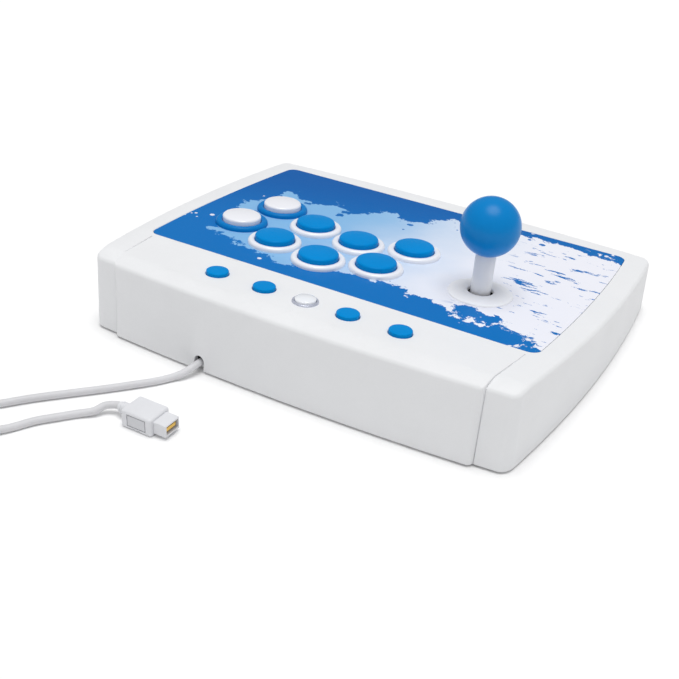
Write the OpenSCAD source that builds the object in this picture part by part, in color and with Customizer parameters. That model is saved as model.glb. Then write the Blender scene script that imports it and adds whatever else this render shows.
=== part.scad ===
// Arcade fight stick with eight big buttons, five small keys, a ball-top stick and a corded plug.
// Units are millimetres and degrees. X runs along the case, +Y to the back wall, +Z up; the feet stand on z = 0.
// The top slopes down to the player, so what is fitted to it is placed by on_top(u, v), with w square to the top.

/* [Case] */
// Width over the bowed ends
case_w = 294.5; // [285:0.5:330]
// Depth from the player's side to the back wall
case_d = 238; // [232:1:270]
// Height of the top over the table at the back wall
back_h = 51.6; // [48:0.1:60]
// Height of the top over the table at the player's side
front_h = 35.3; // [33:0.1:42]
// Thickness of the walls
wall = 2.5; // [2:0.1:3.2]
// Thickness of the deck under the printed panel
deck_t = 2.6; // [2.2:0.1:3.2]
// Radius of the corners in plan
corner_r = 7.5; // [7:0.5:12]
// How far in from both ends the rounding of the top begins
end_round = 10; // [8:0.5:11]
// How far down that rounding goes on both ends
end_drop = 5.5; // [4:0.5:9]
// Rounding of the top edge along the front and back
rim_round = 3; // [2.5:0.5:5]
// Radius that the two ends are bowed to
end_bow_r = 936; // [700:1:1400]
// Radius that the front and back are bowed to
long_bow_r = 1900; // [1500:10:4000]
// How far forward of the middle the case is widest
widest_ahead = 28.5; // [0:0.5:40]
// Distance from each end to the middle block that stands proud at the back
crest_from_end = 20; // [18:0.5:30]
// How far the middle block stands proud of the back wall
crest_step = 3.7; // [2:0.1:5]
// How far the middle block rises over the top at the back edge
crest_rise = 0.9; // [0.5:0.1:1.5]
// Thickness of the base plate
base_t = 2.5; // [2.4:0.1:3]
// Gap between the case and the table
case_lift = 1.2; // [1:0.1:2]
// Diameter of the rubber feet
foot_d = 16; // [12:1:20]

/* [Panel] */
// Distance from each end of the case to the printed panel
panel_from_end = 15.85; // [14:0.05:20]
// Distance from the back wall to the panel
panel_from_back = 52.7; // [48:0.1:56]
// Distance from the front wall to the panel
panel_from_front = 16.1; // [12:0.1:24]
// Thickness of the printed panel
panel_t = 1.5; // [1:0.1:2]
// How far the panel lies below the rim round it
panel_sink = 0.2; // [0.1:0.1:0.5]
// Radius that the panel's ends are bowed to
panel_bow_r = 1050; // [700:10:3000]
// Corner radius of the panel
panel_r = 6; // [3:0.5:12]

/* [Buttons] */
// Spacing of the big buttons
button_pitch = 36; // [35.5:0.1:38]
// Diameter of a big button's cap
cap_d = 24.8; // [24:0.1:27]
// Diameter of a big button's rim
rim_d = 33.7; // [32.5:0.1:34.8]
// Height of a big button's rim over the top
rim_h = 2.7; // [1.5:0.1:3]
// Height of a cap over the top when it is up
cap_h = 6; // [5:0.1:7]
// Travel of a big button
cap_travel = 2.6; // [1.5:0.1:2.8]
// Wall of a button's barrel
barrel_wall = 1.45; // [1.2:0.05:1.6]
// Length of a button's barrel below the top
barrel_l = 19; // [18.6:0.1:20]
// Distance from the panel's edge at the back to the line that the buttons are placed from
buttons_ahead = 63.9; // [62:0.1:72]

/* [Small keys] */
// Diameter of a small key
key_d = 13.2; // [12:0.1:14]
// Height of a small key over the top
key_h = 1.9; // [1.4:0.1:2.5]
// Travel of a small key
key_travel = 0.8; // [0.4:0.1:0.8]
// Distance from the back wall to the row of keys
key_from_back = 28.2; // [25:0.1:33]
// Distance of the inner keys from the middle
key_inner = 27.2; // [24:0.1:30]
// Distance of the outer keys from the middle
key_outer = 59.4; // [54:0.1:62]
// Diameter of the ring round the middle key
home_ring_d = 15.6; // [15.4:0.1:18]

/* [Stick] */
// Distance of the stick from the middle of the case
stick_side = 73.2; // [70:0.1:80]
// Distance from the panel's edge at the back to the stick
stick_ahead = 52.8; // [48:0.1:60]
// Diameter of the ball
ball_d = 35; // [30:0.5:40]
// Height of the ball's middle over the top
ball_up = 41.7; // [38:0.1:55]
// Outer diameter of the shaft's cover
cover_d = 12; // [10:0.1:12]
// Diameter of the steel shaft
shaft_d = 7; // [6:0.1:7.2]
// Tilt of the stick each way
tilt = 8; // [5:0.5:8]
// Depth of the pivot below the top
pivot_down = 4.6; // [4.4:0.1:4.8]
// Diameter of the collar at the stick's foot
collar_d = 38.6; // [34:0.1:44]

/* [Cord] */
// Diameter of the cord
cord_d = 4.3; // [3.6:0.1:4.4]
// Length of the plug's body
plug_l = 20; // [18:0.5:26]
// Width of the plug's body
plug_w = 16.5; // [15:0.5:20]
// Height of the plug's body
plug_h = 11; // [10:0.5:14]
// Travel of the plug's side latches
latch_travel = 0.7; // [0.3:0.1:0.9]

/* [Hidden] */
$fn = 72;

// Clearances and the overrun of every cut
over = 1;
slip = 0.3;
fit = 0.05;
seam = 0.2;
planed = 0.03;

// Colours of the finished object
shell_white = [0.93, 0.94, 0.95];
cap_blue = [0.05, 0.49, 0.76];
panel_blue = [0.2, 0.52, 0.8];
dark_plastic = [0.12, 0.12, 0.13];
steel = [0.72, 0.73, 0.75];
board_green = [0.1, 0.4, 0.25];

// Slope and height of the top
half_w = case_w / 2;
half_d = case_d / 2;
slope = atan((back_h - front_h) / case_d);
mid_h = (back_h + front_h) / 2;
recess = panel_t + panel_sink;
deck_under = recess + deck_t;
base_top = case_lift + base_t;
bottom_lip = 0.8;
crest_w = case_w - 2 * crest_from_end;
crest_gap = 3.4;
crest_corner = 3;
panel_w = case_w - 2 * panel_from_end;
panel_near = half_d - panel_from_back;
panel_far = half_d - panel_from_front;
crest_front = panel_near + crest_gap;
key_back = half_d - key_from_back;
stick_back = panel_near - stick_ahead;

function top_z(y) = mid_h + y * tan(slope);

// Points of a rounded rectangle with their outward angles, anticlockwise
function corner(cx, cy, r, a, n) = [for (i = [0:n]) [cx + r * cos(a + 90 * i / n), cy + r * sin(a + 90 * i / n), a + 90 * i / n]];
function side(p, q, a, n) = [for (i = [1:n - 1]) [p[0] + (q[0] - p[0]) * i / n, p[1] + (q[1] - p[1]) * i / n, a]];
function frame(hx, y0, y1, r, nc, ns) = concat(
  corner(hx - r, y1 - r, r, 0, nc), side([hx - r, y1], [r - hx, y1], 90, ns),
  corner(r - hx, y1 - r, r, 90, nc), side([-hx, y1 - r], [-hx, y0 + r], 180, ns),
  corner(r - hx, y0 + r, r, 180, nc), side([r - hx, y0], [hx - r, y0], 270, ns),
  corner(hx - r, y0 + r, r, 270, nc), side([hx, y0 + r], [hx, y1 - r], 360, ns));

// The bow of the four sides in plan
function bowed(x, y) = [
  x - x / half_w * pow(y + widest_ahead, 2) / (2 * end_bow_r),
  y - y / half_d * x * x / (2 * long_bow_r)];

// An outline drawn in by a distance along its normals, then bowed
function drawn_in(pts, by) = [for (p = pts) bowed(p[0] - by * cos(p[2]), p[1] - by * sin(p[2]))];

// Rings of points joined into one closed skin
module skin(rings) {
  n = len(rings[0]);
  m = len(rings);
  polyhedron(points = [for (r = rings) for (p = r) p],
    faces = concat([[for (i = [0:n - 1]) i]],
      [for (k = [0:m - 2]) for (i = [0:n - 1]) each [
        [k * n + i, (k + 1) * n + i, (k + 1) * n + (i + 1) % n],
        [k * n + i, (k + 1) * n + (i + 1) % n, k * n + (i + 1) % n]]],
      [[for (i = [n - 1:-1:0]) (m - 1) * n + i]]), convexity = 6);
}

// One ring of a moulded form: a is the angle round the edge rounding, 90 at the top
function form_ring(pts, inset, drop, r_end, d_end, r_long, rise, a) = [for (p = pts)
  let (r = d_end * pow(cos(p[2]), 2) + r_long * pow(sin(p[2]), 2),
    in = inset + (r_end * pow(cos(p[2]), 2) + r_long * pow(sin(p[2]), 2)) * (1 - cos(a)),
    q = bowed(p[0] - in * cos(p[2]), p[1] - in * sin(p[2])))
  [q[0], q[1], top_z(q[1]) + rise * (q[1] - crest_front) / (half_d - crest_front) - drop - r * (1 - sin(a))]];

// A moulded form with an upright wall and a rounded top edge, planed off a hair below the top ring
module form(pts, inset, drop, z0, lip, r_end, d_end, r_long, rise, step) {
  foot = [for (p = drawn_in(pts, inset + lip)) [p[0], p[1], z0]];
  toe = [for (p = drawn_in(pts, inset)) [p[0], p[1], z0 + lip]];
  brow = [for (p = form_ring(pts, inset, drop, r_end, d_end, r_long, rise, 90)) p + [0, 0, 2 * over]];
  rise_tan = rise / (half_d - crest_front);
  difference() {
    skin(concat([foot], lip > 0 ? [toe] : [],
      [for (a = [0:step:90]) form_ring(pts, inset, drop, r_end, d_end, r_long, rise, a)], [brow]));
    translate([0, crest_front, top_z(crest_front) - drop - planed]) rotate([atan(tan(slope) + rise_tan), 0, 0])
      translate([-case_w, -2 * case_d, 0]) cube([2 * case_w, 4 * case_d, back_h]);
  }
}

function case_points(nc, ns) = frame(half_w, -half_d, half_d - crest_step, corner_r, nc, ns);
function crest_points(nc, ns) = frame(crest_w / 2, 0, half_d, crest_corner, nc, ns);

module case_outside() {
  form(case_points(8, 10), 0, 0, case_lift, bottom_lip, end_round, end_drop, rim_round, 0, 15);
  form(crest_points(4, 10), 0, 0, case_lift, bottom_lip, crest_corner - seam, crest_corner - seam, rim_round - seam, crest_rise, 18);
}

module case_inside() {
  form(case_points(4, 10), wall, deck_under, case_lift - over, 0, end_round - wall, end_drop - wall, rim_round - wall / 2, 0, 45);
  form(crest_points(1, 10), wall, deck_under, case_lift - over, 0, seam, seam, seam, crest_rise, 90);
}

// Places on the sloping top
module on_top(u, v) {
  translate([0, 0, mid_h]) rotate([slope, 0, 0]) translate([u, v, 0]) children();
}

// Outline of the printed panel, with bowed ends, drawn in by a gap
function panel_points(gap) = [for (p = frame(panel_w / 2, -panel_far, panel_near, panel_r, 6, 10))
  let (x = p[0] - gap * cos(p[2]), y = p[1] - gap * sin(p[2]), m = y - (panel_near - panel_far) / 2)
  [x - x / (panel_w / 2) * m * m / (2 * panel_bow_r), y]];

// Places of the big buttons: the near row, and the far row set off from it
near_row_shares = [[-0.24, 0.56], [0.68, 0.91], [1.66, 0.73], [2.62, 0.33]];
far_row_shares = [-0.21, -1.04];
function near_button(i) = near_row_shares[i] * button_pitch + [0, panel_near - buttons_ahead];
button_places = [for (k = [0:7]) near_button(k % 4) + (k > 3 ? far_row_shares * button_pitch : [0, 0])];
bore_r = cap_d / 2 + slip;
barrel_r = bore_r + barrel_wall;
hole_r = barrel_r + seam;

// Places of the screw posts, feet and boards
post_r = 4;
pilot_r = 1.4;
post_from_end = 24;
post_from_side = 22.8;
post_from_mid = 11;
post_x = half_w - post_from_end;
post_y = half_d - post_from_side;
post_far_y = half_d - post_from_mid;
post_places = [[post_x, post_y], [-post_x, post_y], [post_x, -post_y], [-post_x, -post_y], [0, post_far_y], [0, -post_far_y]];
foot_from_end = 38;
foot_from_side = 34;
foot_x = half_w - foot_from_end;
foot_y = half_d - foot_from_side;
foot_sink = 1;
foot_places = [for (x = [-foot_x, foot_x]) for (y = [-foot_y, foot_y]) [x, y]];
screw_r = pilot_r - fit;
screw_bite = 6;
screw_hole = 2 * screw_bite;
head_r = 2.7;
head_t = 1.3;

// Sizes under the top at the row of keys
key_hole_r = key_d / 2 + slip;
flange_t = 1.2;
flange_out = 1.2;
key_places = [[key_outer, key_back], [key_inner, key_back], [-key_inner, key_back], [-key_outer, key_back]];
key_surface = crest_rise * (key_back - crest_front) / (half_d - crest_front);
key_foot = deck_under + flange_t + seam + 0.5;
dome_top = key_foot + key_travel + seam / 2;
dome_h = 1;
sheet_t = 1;
board_t = 1.6;
key_board_top = dome_top + dome_h + sheet_t;
key_board_over = 20;
key_board_half = 11;
key_boss_in = 5;
sheet_over = 10;
key_board_u = key_outer + key_board_over;
key_boss_u = key_board_u - key_boss_in;
key_boss_r = 3.5;
home_seat_w = 0.2;
home_bore_r = key_hole_r - wall / 2;

// Sizes of the stick's works, measured down from the top
collar_hole_r = cover_d / 2 + 1.7;
collar_t = 1.9;
collar_edge = 0.9;
stick_hole_r = 11.5;
ring_in_r = 5.4;
ring_out_r = 8;
ring_half = 1.8;
pin_r = 1.5;
neck_in_r = 8.8;
neck_out_r = 11;
neck_top = 2.2;
boss_h = 3.5;
plate_t = 1.6;
plate_top = deck_under + boss_h;
plate_under = plate_top + plate_t;
plate_x = 35;
plate_y = 27;
plate_hole_x = 30;
plate_hole_y = 22;
box_half = 25;
box_arm = 18;
box_wall = 2.2;
hub_r = 4.9;
hub_flange_r = 7;
hub_flange_top = pivot_down + 3.3;
hub_flange_t = 1.2;
spring_wire = 1.2;
spring_r = hub_flange_r - spring_wire / 2;
spring_turns = 6;
switch_board_t = 1.4;
switch_board_r = 12.5;
actuator_r = 6.5;
actuator_gap = 0.5;
actuator_h = 4.5;
clip_t = 0.8;
clip_r = 5;
clip_room = 1.6;
gate_t = 1.8;
gate_box = 23;
gate_post = 20;
gate_room = 3;
// The housing is as deep as the room over the base plate allows
works_room = (mid_h + (stick_back - gate_box) * sin(slope) - base_top - gate_room) / cos(slope);
box_deep = works_room - plate_under - switch_board_t - actuator_gap - actuator_h - clip_t - clip_room - gate_t;
switch_board_top = plate_under + box_deep;
actuator_top = switch_board_top + switch_board_t + actuator_gap;
gate_top = actuator_top + actuator_h + clip_t + clip_room;
shaft_end = gate_top + gate_t / 2;
tilt_gap = 0.4;
gate_half = shaft_d / 2 + (shaft_end - pivot_down) * sin(tilt) + tilt_gap;
lever_gap_r = actuator_r + (actuator_top + actuator_h - pivot_down) * sin(tilt) + 2 * tilt_gap;
thread_r = 3;
ball_seat = ball_up - ball_d / 2 + 1.6;

// The case

module screw(r, head_rad, head_h, l) {
  translate([0, 0, -head_h]) cylinder(r = head_rad, h = head_h, $fn = 24);
  cylinder(r = r, h = l, $fn = 24);
}

module posts() {
  for (p = post_places) translate([p[0], p[1], base_top])
    cylinder(r = post_r, h = top_z(p[1]) - deck_under + deck_t / 2 - base_top, $fn = 32);
}

module deck_bosses() {
  on_top(-stick_side, stick_back) for (x = [-plate_hole_x, plate_hole_x]) for (y = [-plate_hole_y, plate_hole_y])
    translate([x, y, -plate_top]) cylinder(r = post_r, h = boss_h + deck_t / 2, $fn = 32);
  for (u = [-key_boss_u, key_boss_u]) on_top(u, key_back) translate([0, 0, -key_board_top])
    cylinder(r = key_boss_r, h = key_board_top - deck_under + deck_t / 2, $fn = 32);
}

module pilot_holes() {
  for (p = post_places) translate([p[0], p[1], base_top - over]) cylinder(r = pilot_r, h = screw_hole + over, $fn = 24);
  on_top(-stick_side, stick_back) for (x = [-plate_hole_x, plate_hole_x]) for (y = [-plate_hole_y, plate_hole_y])
    translate([x, y, -plate_top - over]) cylinder(r = pilot_r, h = boss_h - seam + over, $fn = 24);
  for (u = [-key_boss_u, key_boss_u]) on_top(u, key_back) translate([0, 0, -key_board_top - over])
    cylinder(r = pilot_r, h = 4 + over, $fn = 24);
}

// Round-topped notch for the cord at the foot of the back wall
notch_r = cord_d / 2 + 1.3;
notch_z = base_top + cord_d / 2;
notch_rise = 1.5;
cord_x = 52.4;
module cord_notch(deep) {
  translate([cord_x, half_d + over, notch_z + notch_rise]) rotate([90, 0, 0]) cylinder(r = notch_r, h = deep + over, $fn = 32);
  translate([cord_x - notch_r, half_d - deep, -over]) cube([2 * notch_r, deep + over, notch_z + notch_rise + over]);
}

module top_shell() color(shell_white) difference() {
  union() {
    difference() {
      case_outside();
      case_inside();
    }
    posts();
    deck_bosses();
  }
  on_top(0, 0) translate([0, 0, -recess]) linear_extrude(recess + over) polygon(panel_points(0));
  for (p = button_places) on_top(p[0], p[1]) translate([0, 0, -deck_under - over]) cylinder(r = hole_r, h = deck_under + 2 * over);
  on_top(-stick_side, stick_back) translate([0, 0, -deck_under - over]) cylinder(r = stick_hole_r, h = deck_under + 2 * over);
  for (p = concat(key_places, [[0, key_back]])) on_top(p[0], p[1])
    translate([0, 0, -deck_under - over]) cylinder(r = key_hole_r, h = deck_under + 3 * over, $fn = 48);
  on_top(0, key_back) translate([0, 0, home_seat_w]) cylinder(r = home_ring_d / 2 + seam, h = 2 * over, $fn = 48);
  pilot_holes();
  cord_notch(3 * wall);
}

module art_panel() color(panel_blue) on_top(0, 0) translate([0, 0, -recess]) difference() {
  linear_extrude(panel_t) polygon(panel_points(seam));
  for (p = button_places) translate([p[0], p[1], -over]) cylinder(r = hole_r, h = panel_t + 2 * over);
  translate([-stick_side, stick_back, -over]) cylinder(r = stick_hole_r, h = panel_t + 2 * over);
}

board_w = 84;
board_d = 38;
board_x = 12;
board_from_back = 43;
board_y = half_d - board_from_back;
board_lift = 5;
board_post_r = 3;
board_hole_in = 4;
board_holes = [for (x = [-1, 1]) for (y = [-1, 1]) [board_x + x * (board_w / 2 - board_hole_in), board_y + y * (board_d / 2 - board_hole_in)]];

module base_plate() color(shell_white) difference() {
  union() {
    translate([0, 0, case_lift]) linear_extrude(base_t) union() {
      polygon(drawn_in(case_points(6, 10), wall + seam));
      polygon(drawn_in(crest_points(4, 10), wall + seam));
    }
    for (p = board_holes) translate([p[0], p[1], base_top - seam]) cylinder(r = board_post_r, h = board_lift + seam, $fn = 32);
  }
  for (p = post_places) translate([p[0], p[1], case_lift - over]) {
    cylinder(r = screw_r + seam, h = base_t + 2 * over, $fn = 24);
    cylinder(r = head_r + seam, h = head_t + over, $fn = 24);
  }
  for (p = foot_places) translate([p[0], p[1], case_lift - over]) cylinder(r = foot_d / 2 + fit, h = foot_sink + over);
  for (p = board_holes) translate([p[0], p[1], base_top]) cylinder(r = pilot_r, h = board_lift + over, $fn = 24);
}

module rubber_feet() color(dark_plastic) for (p = foot_places) translate([p[0], p[1], 0]) rotate_extrude()
  polygon([[0, 0], [foot_d / 2 - seam, 0], [foot_d / 2, seam], [foot_d / 2, case_lift + foot_sink], [0, case_lift + foot_sink]]);

module base_screws() color(steel) for (p = post_places)
  translate([p[0], p[1], case_lift + head_t]) screw(screw_r, head_r, head_t, base_t + screw_bite);

// The big buttons

rim_edge = 1.6;
barrel_floor = 13.5;
floor_t = 2;
stem_r = 4.5;
lug_w = 4;
lug_out = 0.9;
skirt_end = 8;
lug_h = 2.5;
module button_body(k) color(k % 4 == 3 ? cap_blue : shell_white) on_top(button_places[k][0], button_places[k][1]) difference() {
  rotate_extrude() polygon(concat(
    [[stem_r + slip, -barrel_floor], [bore_r, -barrel_floor], [bore_r, rim_h - seam], [bore_r + seam, rim_h]],
    [for (a = [0:15:90]) [rim_d / 2 - rim_edge + rim_edge * sin(a), rim_h - rim_edge + rim_edge * cos(a)]],
    [[rim_d / 2, -panel_sink], [barrel_r, -panel_sink], [barrel_r, -barrel_l], [bore_r, -barrel_l],
      [bore_r, -barrel_floor - floor_t], [stem_r + slip, -barrel_floor - floor_t]]));
  for (a = [0, 180]) rotate([0, 0, a]) translate([bore_r - over, -lug_w / 2 - slip, -skirt_end - cap_travel - slip])
    cube([lug_out + over, lug_w + 2 * slip, lug_h + cap_travel + 2 * slip]);
}

cap_edge = 1.6;
cap_crown = 0.4;
cap_shell = 1.6;
module button_cap(k) color(k % 4 == 3 ? shell_white : cap_blue) on_top(button_places[k][0], button_places[k][1]) {
  rotate_extrude() polygon(concat([[0, cap_h + cap_crown]],
    [for (a = [10:16:90]) [cap_d / 2 - cap_edge + cap_edge * sin(a), cap_h - cap_edge + cap_edge * cos(a)]],
    [[cap_d / 2, -skirt_end], [cap_d / 2 - cap_shell, -skirt_end], [cap_d / 2 - cap_shell, cap_h - 2 * cap_shell],
      [stem_r, cap_h - 2 * cap_shell], [stem_r, -barrel_floor - floor_t - slip], [0, -barrel_floor - floor_t - slip]]));
  for (a = [0, 180]) rotate([0, 0, a]) translate([cap_d / 2 - cap_shell / 2, -lug_w / 2, -skirt_end])
    cube([cap_shell / 2 + slip + lug_out - slip, lug_w, lug_h]);
}

nut_t = 4;
module button_nuts() color(dark_plastic) for (p = button_places) on_top(p[0], p[1]) translate([0, 0, -deck_under - planed - nut_t]) difference() {
  cylinder(r = rim_d / 2, h = nut_t, $fn = 12);
  translate([0, 0, -over]) cylinder(r = barrel_r + fit, h = nut_t + 2 * over);
}

switch_l = 27.8;
switch_w = 10.2;
switch_h = 10;
blade_t = 0.8;
blade_w = 3.2;
blade_l = 3;
module button_switches() color(dark_plastic) for (p = button_places) on_top(p[0], p[1]) translate([0, 0, -barrel_l - switch_h]) {
  translate([-switch_l / 2, -switch_w / 2, 0]) cube([switch_l, switch_w, switch_h]);
  for (s = [-1, 0, 1]) translate([s * switch_l / 3 - blade_w / 2, -blade_t / 2, -blade_l])
    cube([blade_w, blade_t, blade_l + over]);
}

// The small keys

key_edge = 1.2;
module key_cap(r, hole, w_top) rotate_extrude() polygon(concat([[0, w_top + seam]],
  [for (a = [10:16:90]) [r - key_edge + key_edge * sin(a), w_top - key_edge + key_edge * cos(a)]],
  [[r, -deck_under - seam], [hole + flange_out, -deck_under - seam], [hole + flange_out, -deck_under - seam - flange_t],
    [3, -deck_under - seam - flange_t], [3, -key_foot], [0, -key_foot]]));

module menu_key(k) color(cap_blue) on_top(key_places[k][0], key_places[k][1]) key_cap(key_d / 2, key_hole_r, key_surface + key_h);

module home_key() color([0.85, 0.92, 0.97]) on_top(0, key_back)
  key_cap(home_bore_r - slip, home_bore_r, key_surface + key_h + 0.6);

module home_ring() color(steel) on_top(0, key_back) rotate_extrude() polygon([
  [home_bore_r, -deck_under + seam], [home_bore_r, home_seat_w + 0.9], [home_bore_r + seam, home_seat_w + 1.1],
  [home_ring_d / 2 - 0.6, home_seat_w + 1.1], [home_ring_d / 2, home_seat_w + 0.5], [home_ring_d / 2, home_seat_w],
  [key_hole_r - seam, home_seat_w], [key_hole_r - seam, -deck_under + seam]]);

dome_r = 4.5;
module key_membrane() color([0.8, 0.8, 0.78]) on_top(0, key_back) {
  translate([-key_outer - sheet_over, -sheet_over, -key_board_top]) cube([2 * (key_outer + sheet_over), 2 * sheet_over, sheet_t]);
  for (u = [-key_outer, -key_inner, 0, key_inner, key_outer]) translate([u, 0, -key_board_top + sheet_t / 2]) rotate_extrude($fn = 32)
    polygon([[0, 0], [dome_r, 0], [dome_r, sheet_t / 2], [dome_r - dome_h, dome_h + sheet_t / 2], [0, dome_h + sheet_t / 2]]);
}

module menu_board() color(board_green) on_top(0, key_back) difference() {
  translate([-key_board_u, -key_board_half, -key_board_top - board_t]) cube([2 * key_board_u, 2 * key_board_half, board_t]);
  for (u = [-key_boss_u, key_boss_u]) translate([u, 0, -key_board_top - board_t - over])
    cylinder(r = screw_r + seam, h = board_t + 2 * over, $fn = 24);
}

module menu_screws() color(steel) for (u = [-key_boss_u, key_boss_u]) on_top(u, key_back)
  translate([0, 0, -key_board_top - board_t]) screw(screw_r, head_r, head_t, board_t + 3);

// The stick

module at_stick() {
  on_top(-stick_side, stick_back) children();
}

module ball_top() color(cap_blue) at_stick() difference() {
  translate([0, 0, ball_up]) sphere(d = ball_d, $fn = 96);
  translate([0, 0, ball_up - ball_d]) cylinder(r = cover_d / 2 + seam, h = ball_seat - ball_up + ball_d);
  translate([0, 0, ball_seat - over]) cylinder(r = thread_r + fit, h = ball_d * 0.55, $fn = 32);
}

module stick_shaft() color(steel) at_stick() {
  translate([0, 0, -shaft_end]) cylinder(d = shaft_d, h = shaft_end + ball_seat, $fn = 48);
  translate([0, 0, ball_seat - over]) cylinder(r = thread_r, h = ball_d * 0.5, $fn = 32);
}

module shaft_cover() color(shell_white) at_stick() translate([0, 0, 3.5 - pivot_down]) difference() {
  cylinder(d = cover_d, h = ball_seat - 3.5 + pivot_down);
  translate([0, 0, -over]) cylinder(r = shaft_d / 2 + fit, h = ball_up);
}

module stick_collar() color(shell_white) at_stick() rotate_extrude() polygon(concat(
  [[collar_hole_r, -panel_sink], [collar_hole_r, collar_t]],
  [for (i = [0:5]) let (s = i / 5) [collar_hole_r + 1.2 + s * (collar_d / 2 - collar_hole_r - 1.8),
    collar_t - (collar_t - collar_edge) * s * s]],
  [[collar_d / 2, 0.4], [collar_d / 2, -panel_sink], [stick_hole_r - seam, -panel_sink],
    [stick_hole_r - seam, -panel_sink - 1.4], [9.6, -panel_sink - 1.4], [9.6, -panel_sink]]));

module mount_plate() color(steel) at_stick() translate([0, 0, -plate_under]) difference() {
  linear_extrude(plate_t) polygon([for (p = frame(plate_x, -plate_y, plate_y, 4, 6, 1)) [p[0], p[1]]]);
  translate([0, 0, -over]) cylinder(r = neck_out_r + seam, h = plate_t + 2 * over);
  for (x = [-plate_hole_x, plate_hole_x]) for (y = [-plate_hole_y, plate_hole_y]) translate([x, y, -over])
    cylinder(r = screw_r + seam, h = plate_t + 2 * over, $fn = 24);
}

module mount_screws() color(steel) at_stick() for (x = [-plate_hole_x, plate_hole_x]) for (y = [-plate_hole_y, plate_hole_y])
  translate([x, y, -plate_under]) screw(screw_r, head_r, head_t, plate_t + boss_h - 2 * seam - fit);

module stick_housing() color(dark_plastic) at_stick() difference() {
  union() {
    translate([0, 0, -switch_board_top]) linear_extrude(box_deep)
      polygon([for (p = frame(box_half, -box_arm, box_arm, 3, 6, 1)) [p[0], p[1]]]);
    translate([0, 0, -switch_board_top]) linear_extrude(box_deep)
      polygon([for (p = frame(box_arm, -box_half, box_half, 3, 6, 1)) [p[0], p[1]]]);
    translate([0, 0, -plate_under - over]) cylinder(r = neck_out_r, h = plate_under - neck_top + over);
  }
  translate([0, 0, -plate_under - box_wall - over]) cylinder(r = neck_in_r, h = plate_under + box_wall + over);
  translate([0, 0, -switch_board_top - over]) linear_extrude(box_deep - box_wall + over) union() {
    square([2 * (box_half - box_wall), 2 * (box_arm - box_wall)], center = true);
    square([2 * (box_arm - box_wall), 2 * (box_half - box_wall)], center = true);
  }
  translate([0, 0, -pivot_down]) rotate([0, 90, 0]) cylinder(r = pin_r + fit, h = 4 * neck_out_r, center = true, $fn = 32);
}

module pivot_ring() color(shell_white) at_stick() translate([0, 0, -pivot_down]) {
  difference() {
    union() {
      cylinder(r = ring_out_r, h = 2 * ring_half, center = true);
      rotate([0, 90, 0]) cylinder(r = pin_r, h = 2 * neck_out_r - 2 * seam, center = true, $fn = 32);
    }
    cylinder(r = ring_in_r, h = 4 * ring_half, center = true);
    rotate([90, 0, 0]) cylinder(r = pin_r + fit, h = 4 * ring_out_r, center = true, $fn = 32);
  }
}

module stick_hub() color(shell_white) at_stick() difference() {
  union() {
    translate([0, 0, -hub_flange_top]) cylinder(r = hub_r, h = hub_flange_top - pivot_down + ring_half, $fn = 48);
    translate([0, 0, -hub_flange_top - hub_flange_t]) cylinder(r = hub_flange_r, h = hub_flange_t, $fn = 48);
    translate([0, 0, -pivot_down]) rotate([90, 0, 0]) cylinder(r = pin_r, h = 2 * ring_out_r - 2 * seam, center = true, $fn = 32);
  }
  translate([0, 0, -2 * hub_flange_top]) cylinder(r = shaft_d / 2 + fit, h = 3 * hub_flange_top, $fn = 48);
}

module stick_actuator() color(dark_plastic) at_stick() translate([0, 0, -actuator_top - actuator_h]) difference() {
  cylinder(r = actuator_r, h = actuator_h, $fn = 48);
  translate([0, 0, -over]) cylinder(r = shaft_d / 2 + fit, h = actuator_h + 2 * over, $fn = 48);
}

module e_clip() color(steel) at_stick() translate([0, 0, -actuator_top - actuator_h - clip_t]) difference() {
  cylinder(r = clip_r, h = clip_t, $fn = 48);
  translate([0, 0, -over]) cylinder(r = shaft_d / 2 + fit, h = clip_t + 2 * over, $fn = 48);
  translate([0, -shaft_d / 3, -over]) cube([2 * clip_r, shaft_d / 1.5, clip_t + 2 * over]);
}

// A tube of some sides swept along points, ends square to the path
function unit(v) = v / norm(v);
function ring_at(p, t, r, n) = let (s = unit(cross(t, [0, 0, 1])), up = cross(s, t))
  [for (i = [0:n - 1]) p + r * (cos(360 * i / n) * up + sin(360 * i / n) * s)];
module tube(pts, r, n) {
  m = len(pts) - 1;
  skin([for (i = [0:m]) ring_at(pts[i], unit(pts[min(i + 1, m)] - pts[max(i - 1, 0)]), r, n)]);
}

spring_top = hub_flange_top + hub_flange_t + spring_wire / 2 + fit;
spring_low = actuator_top - spring_wire / 2 - fit;
module centring_spring() color(steel) at_stick() tube([for (i = [0:8 * spring_turns])
  let (s = i / (8 * spring_turns))
  [spring_r * cos(45 * i), spring_r * sin(45 * i), -spring_low + s * (spring_low - spring_top)]], spring_wire / 2, 6);

micro_l = 20;
micro_w = 6.4;
micro_h = 6.2;
pin_in = 2.8;
pin_step = 6;
pin_w = 1.2;
pin_out = 1.5;
module stick_switches() color(dark_plastic) at_stick() for (a = [0:90:270]) rotate([0, 0, a])
  translate([lever_gap_r, -micro_l / 2, -switch_board_top - switch_board_t - micro_h]) {
    cube([micro_w, micro_l, micro_h]);
    for (s = [-1, 0, 1]) translate([pin_in, micro_l / 2 + pin_step * s, micro_h - over]) cube([blade_t, pin_w, switch_board_t + over + pin_out]);
  }

module switch_board() color(board_green) at_stick() translate([0, 0, -switch_board_top - switch_board_t]) difference() {
  linear_extrude(switch_board_t) polygon([for (p = frame(gate_box, -gate_box, gate_box, 3, 6, 1)) [p[0], p[1]]]);
  translate([0, 0, -over]) cylinder(r = switch_board_r, h = switch_board_t + 2 * over);
  for (a = [0:90:270]) rotate([0, 0, a]) for (s = [-1, 0, 1])
    translate([lever_gap_r + pin_in - seam, pin_step * s - seam, -over]) cube([blade_t + 2 * seam, pin_w + 2 * seam, 2 * over + switch_board_t]);
}

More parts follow.
